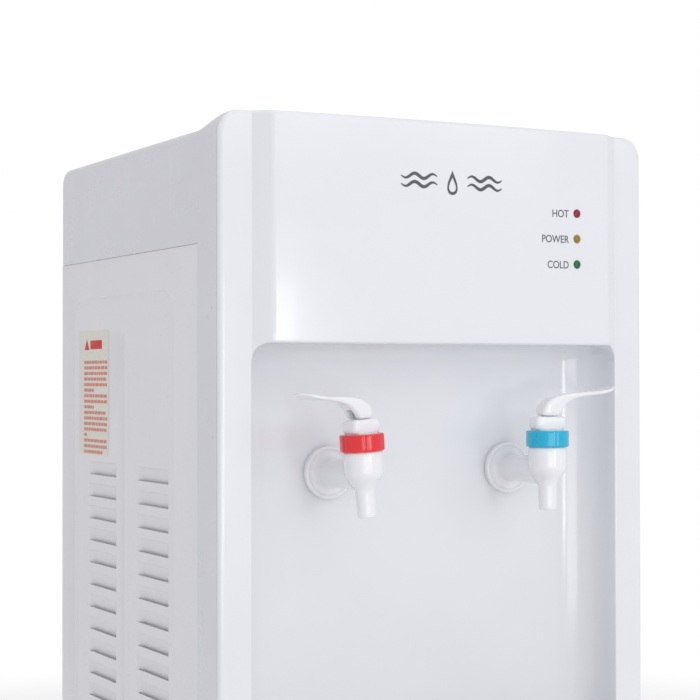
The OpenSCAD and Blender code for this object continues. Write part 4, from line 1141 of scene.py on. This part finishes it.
CARRIED = (
    (SHELL, "base_pan"), (WHITE, "feed_probe cold_tank_lid"), (TAP, "hot_tap_stem cold_tap_stem"),
    (ZINC, "back_panel tank_bracket hot_tank_stand"), (CHROME, "back_panel_screws hot_tap_pin cold_tap_pin"),
    (SILICONE, "tap_washers hoses hot_tap_seal cold_tap_seal"), (GREY, "tap_lock_nuts"),
    (STAINLESS, "cold_tank hot_tank"), (FOAM, "cold_tank_foam hot_tank_foam"),
    (ALUMINIUM, "heater_band cold_block heat_sink"), (CERAMIC, "thermostats cooling_module"),
    (BLACK, "fan_frame fan_rotor switch_housings"), (RUBBER, "drain_cap_liner"),
    (BOARD, "lamp_board power_board"),
)


def carried_nodes():
    """Materials for the CAD nodes that show as they are."""
    for material, nodes in CARRIED:
        for node in nodes.split():
            paint(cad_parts[node].data, material)


# ---------------- studio

def floor():
    """A pale round floor that fades into the white backdrop."""
    n = Nodes("studio_floor")
    distance = n.node("VectorMath", Vector=n.coord)
    distance.operation = "LENGTH"
    tone = n.mix(n.remap(n.noise(6, 3), 0, 1), (0.86, 0.86, 0.865, 1), (0.9, 0.9, 0.905, 1))
    n.finish(Base_Color=tone, Roughness=0.55)
    glow = n.node("Emission", Color=(1, 1, 1, 1), Strength=1.0)
    mix = n.node("MixShader", Fac=n.remap(distance.outputs["Value"], 0, 1, 0.45, 0.95))
    n.tree.links.new(n.shader.outputs[0], mix.inputs[1])
    n.tree.links.new(glow.outputs[0], mix.inputs[2])
    n.tree.links.new(mix.outputs[0], n.tree.nodes["Material Output"].inputs["Surface"])
    rings = [at_z(0, arc(0, 0, r, 0, 360, 96)[:-1]) for r in (0.2, 0.4, 0.6, 0.8, 1.0)]
    build = Build()
    build.grid(rings, closed=True)
    build.cap(rings[0])
    obj = to_mesh("studio_floor", build, OWN)
    obj.data.materials.append(n.mat)


AIM = Vector((0, 0, 0.33))  # what the lights point at


def softbox(name, azimuth, elevation, distance, width, height, power):
    """A soft light at azimuth degrees to the right of the front, aimed at the middle of the cabinet."""
    data = bpy.data.lights.new(name, "AREA")
    data.shape = "RECTANGLE"
    data.size, data.size_y = width, height
    data.energy = power
    obj = link(name, data)
    a, e = radians(azimuth), radians(elevation)
    out = Vector((sin(a) * cos(e), -cos(a) * cos(e), sin(e)))
    obj.location = AIM + distance * out
    obj.rotation_euler = (AIM - obj.location).to_track_quat("-Z", "Y").to_euler()


def backdrop(fill):
    """White behind the object for the camera, and softer for everything that it lights."""
    world = bpy.data.worlds.new("studio")
    bpy.context.scene.world = world
    world.use_nodes = True
    tree = world.node_tree
    light, white = tree.nodes["Background"], tree.nodes.new("ShaderNodeBackground")
    light.inputs["Strength"].default_value = fill
    light.inputs["Color"].default_value = (0.97, 0.975, 1.0, 1)
    white.inputs["Color"].default_value = (1, 1, 1, 1)
    path, mix = tree.nodes.new("ShaderNodeLightPath"), tree.nodes.new("ShaderNodeMixShader")
    tree.links.new(path.outputs["Is Camera Ray"], mix.inputs["Fac"])
    tree.links.new(light.outputs[0], mix.inputs[1])
    tree.links.new(white.outputs[0], mix.inputs[2])
    tree.links.new(mix.outputs[0], tree.nodes["World Output"].inputs["Surface"])


def studio():
    """Floor, backdrop, four lights, and the camera solved from the photo."""
    floor()
    backdrop(0.72)
    softbox("key", 18, 26, 2.2, 1.6, 1.2, 5.5)
    softbox("front_strip", 11, -1.3, 2.0, 0.3, 0.44, 2.4)
    softbox("top", 10, 80, 1.8, 1.4, 1.4, 4.8)
    softbox("low_fill", -12, -7, 1.6, 0.8, 0.3, 1.9)
    data = bpy.data.cameras.new("camera")
    data.lens, data.sensor_width = CAMERA_LENS, 36
    cam = link("camera", data)
    cam.location = CAMERA_AT
    cam.rotation_euler = [radians(a) for a in CAMERA_TURN]
    bpy.context.scene.camera = cam
    bpy.context.scene.view_settings.view_transform = "Standard"


front_panel()
cabinet_shell()
for side_name in ("left", "right"):
    side_panel(side_name)
side_label()
taps()
drip_shelf()
drip_tray()
drip_grille()
bottle_seat()
seat_gasket()
for lamp_name, lamp_height in zip(LAMPS, LAMP_Z):
    lamp(lamp_name, lamp_height)
panel_print()
feet()
rear_fittings()
for switch_name in SWITCH_Z:
    rocker(switch_name)
carried_nodes()
studio()
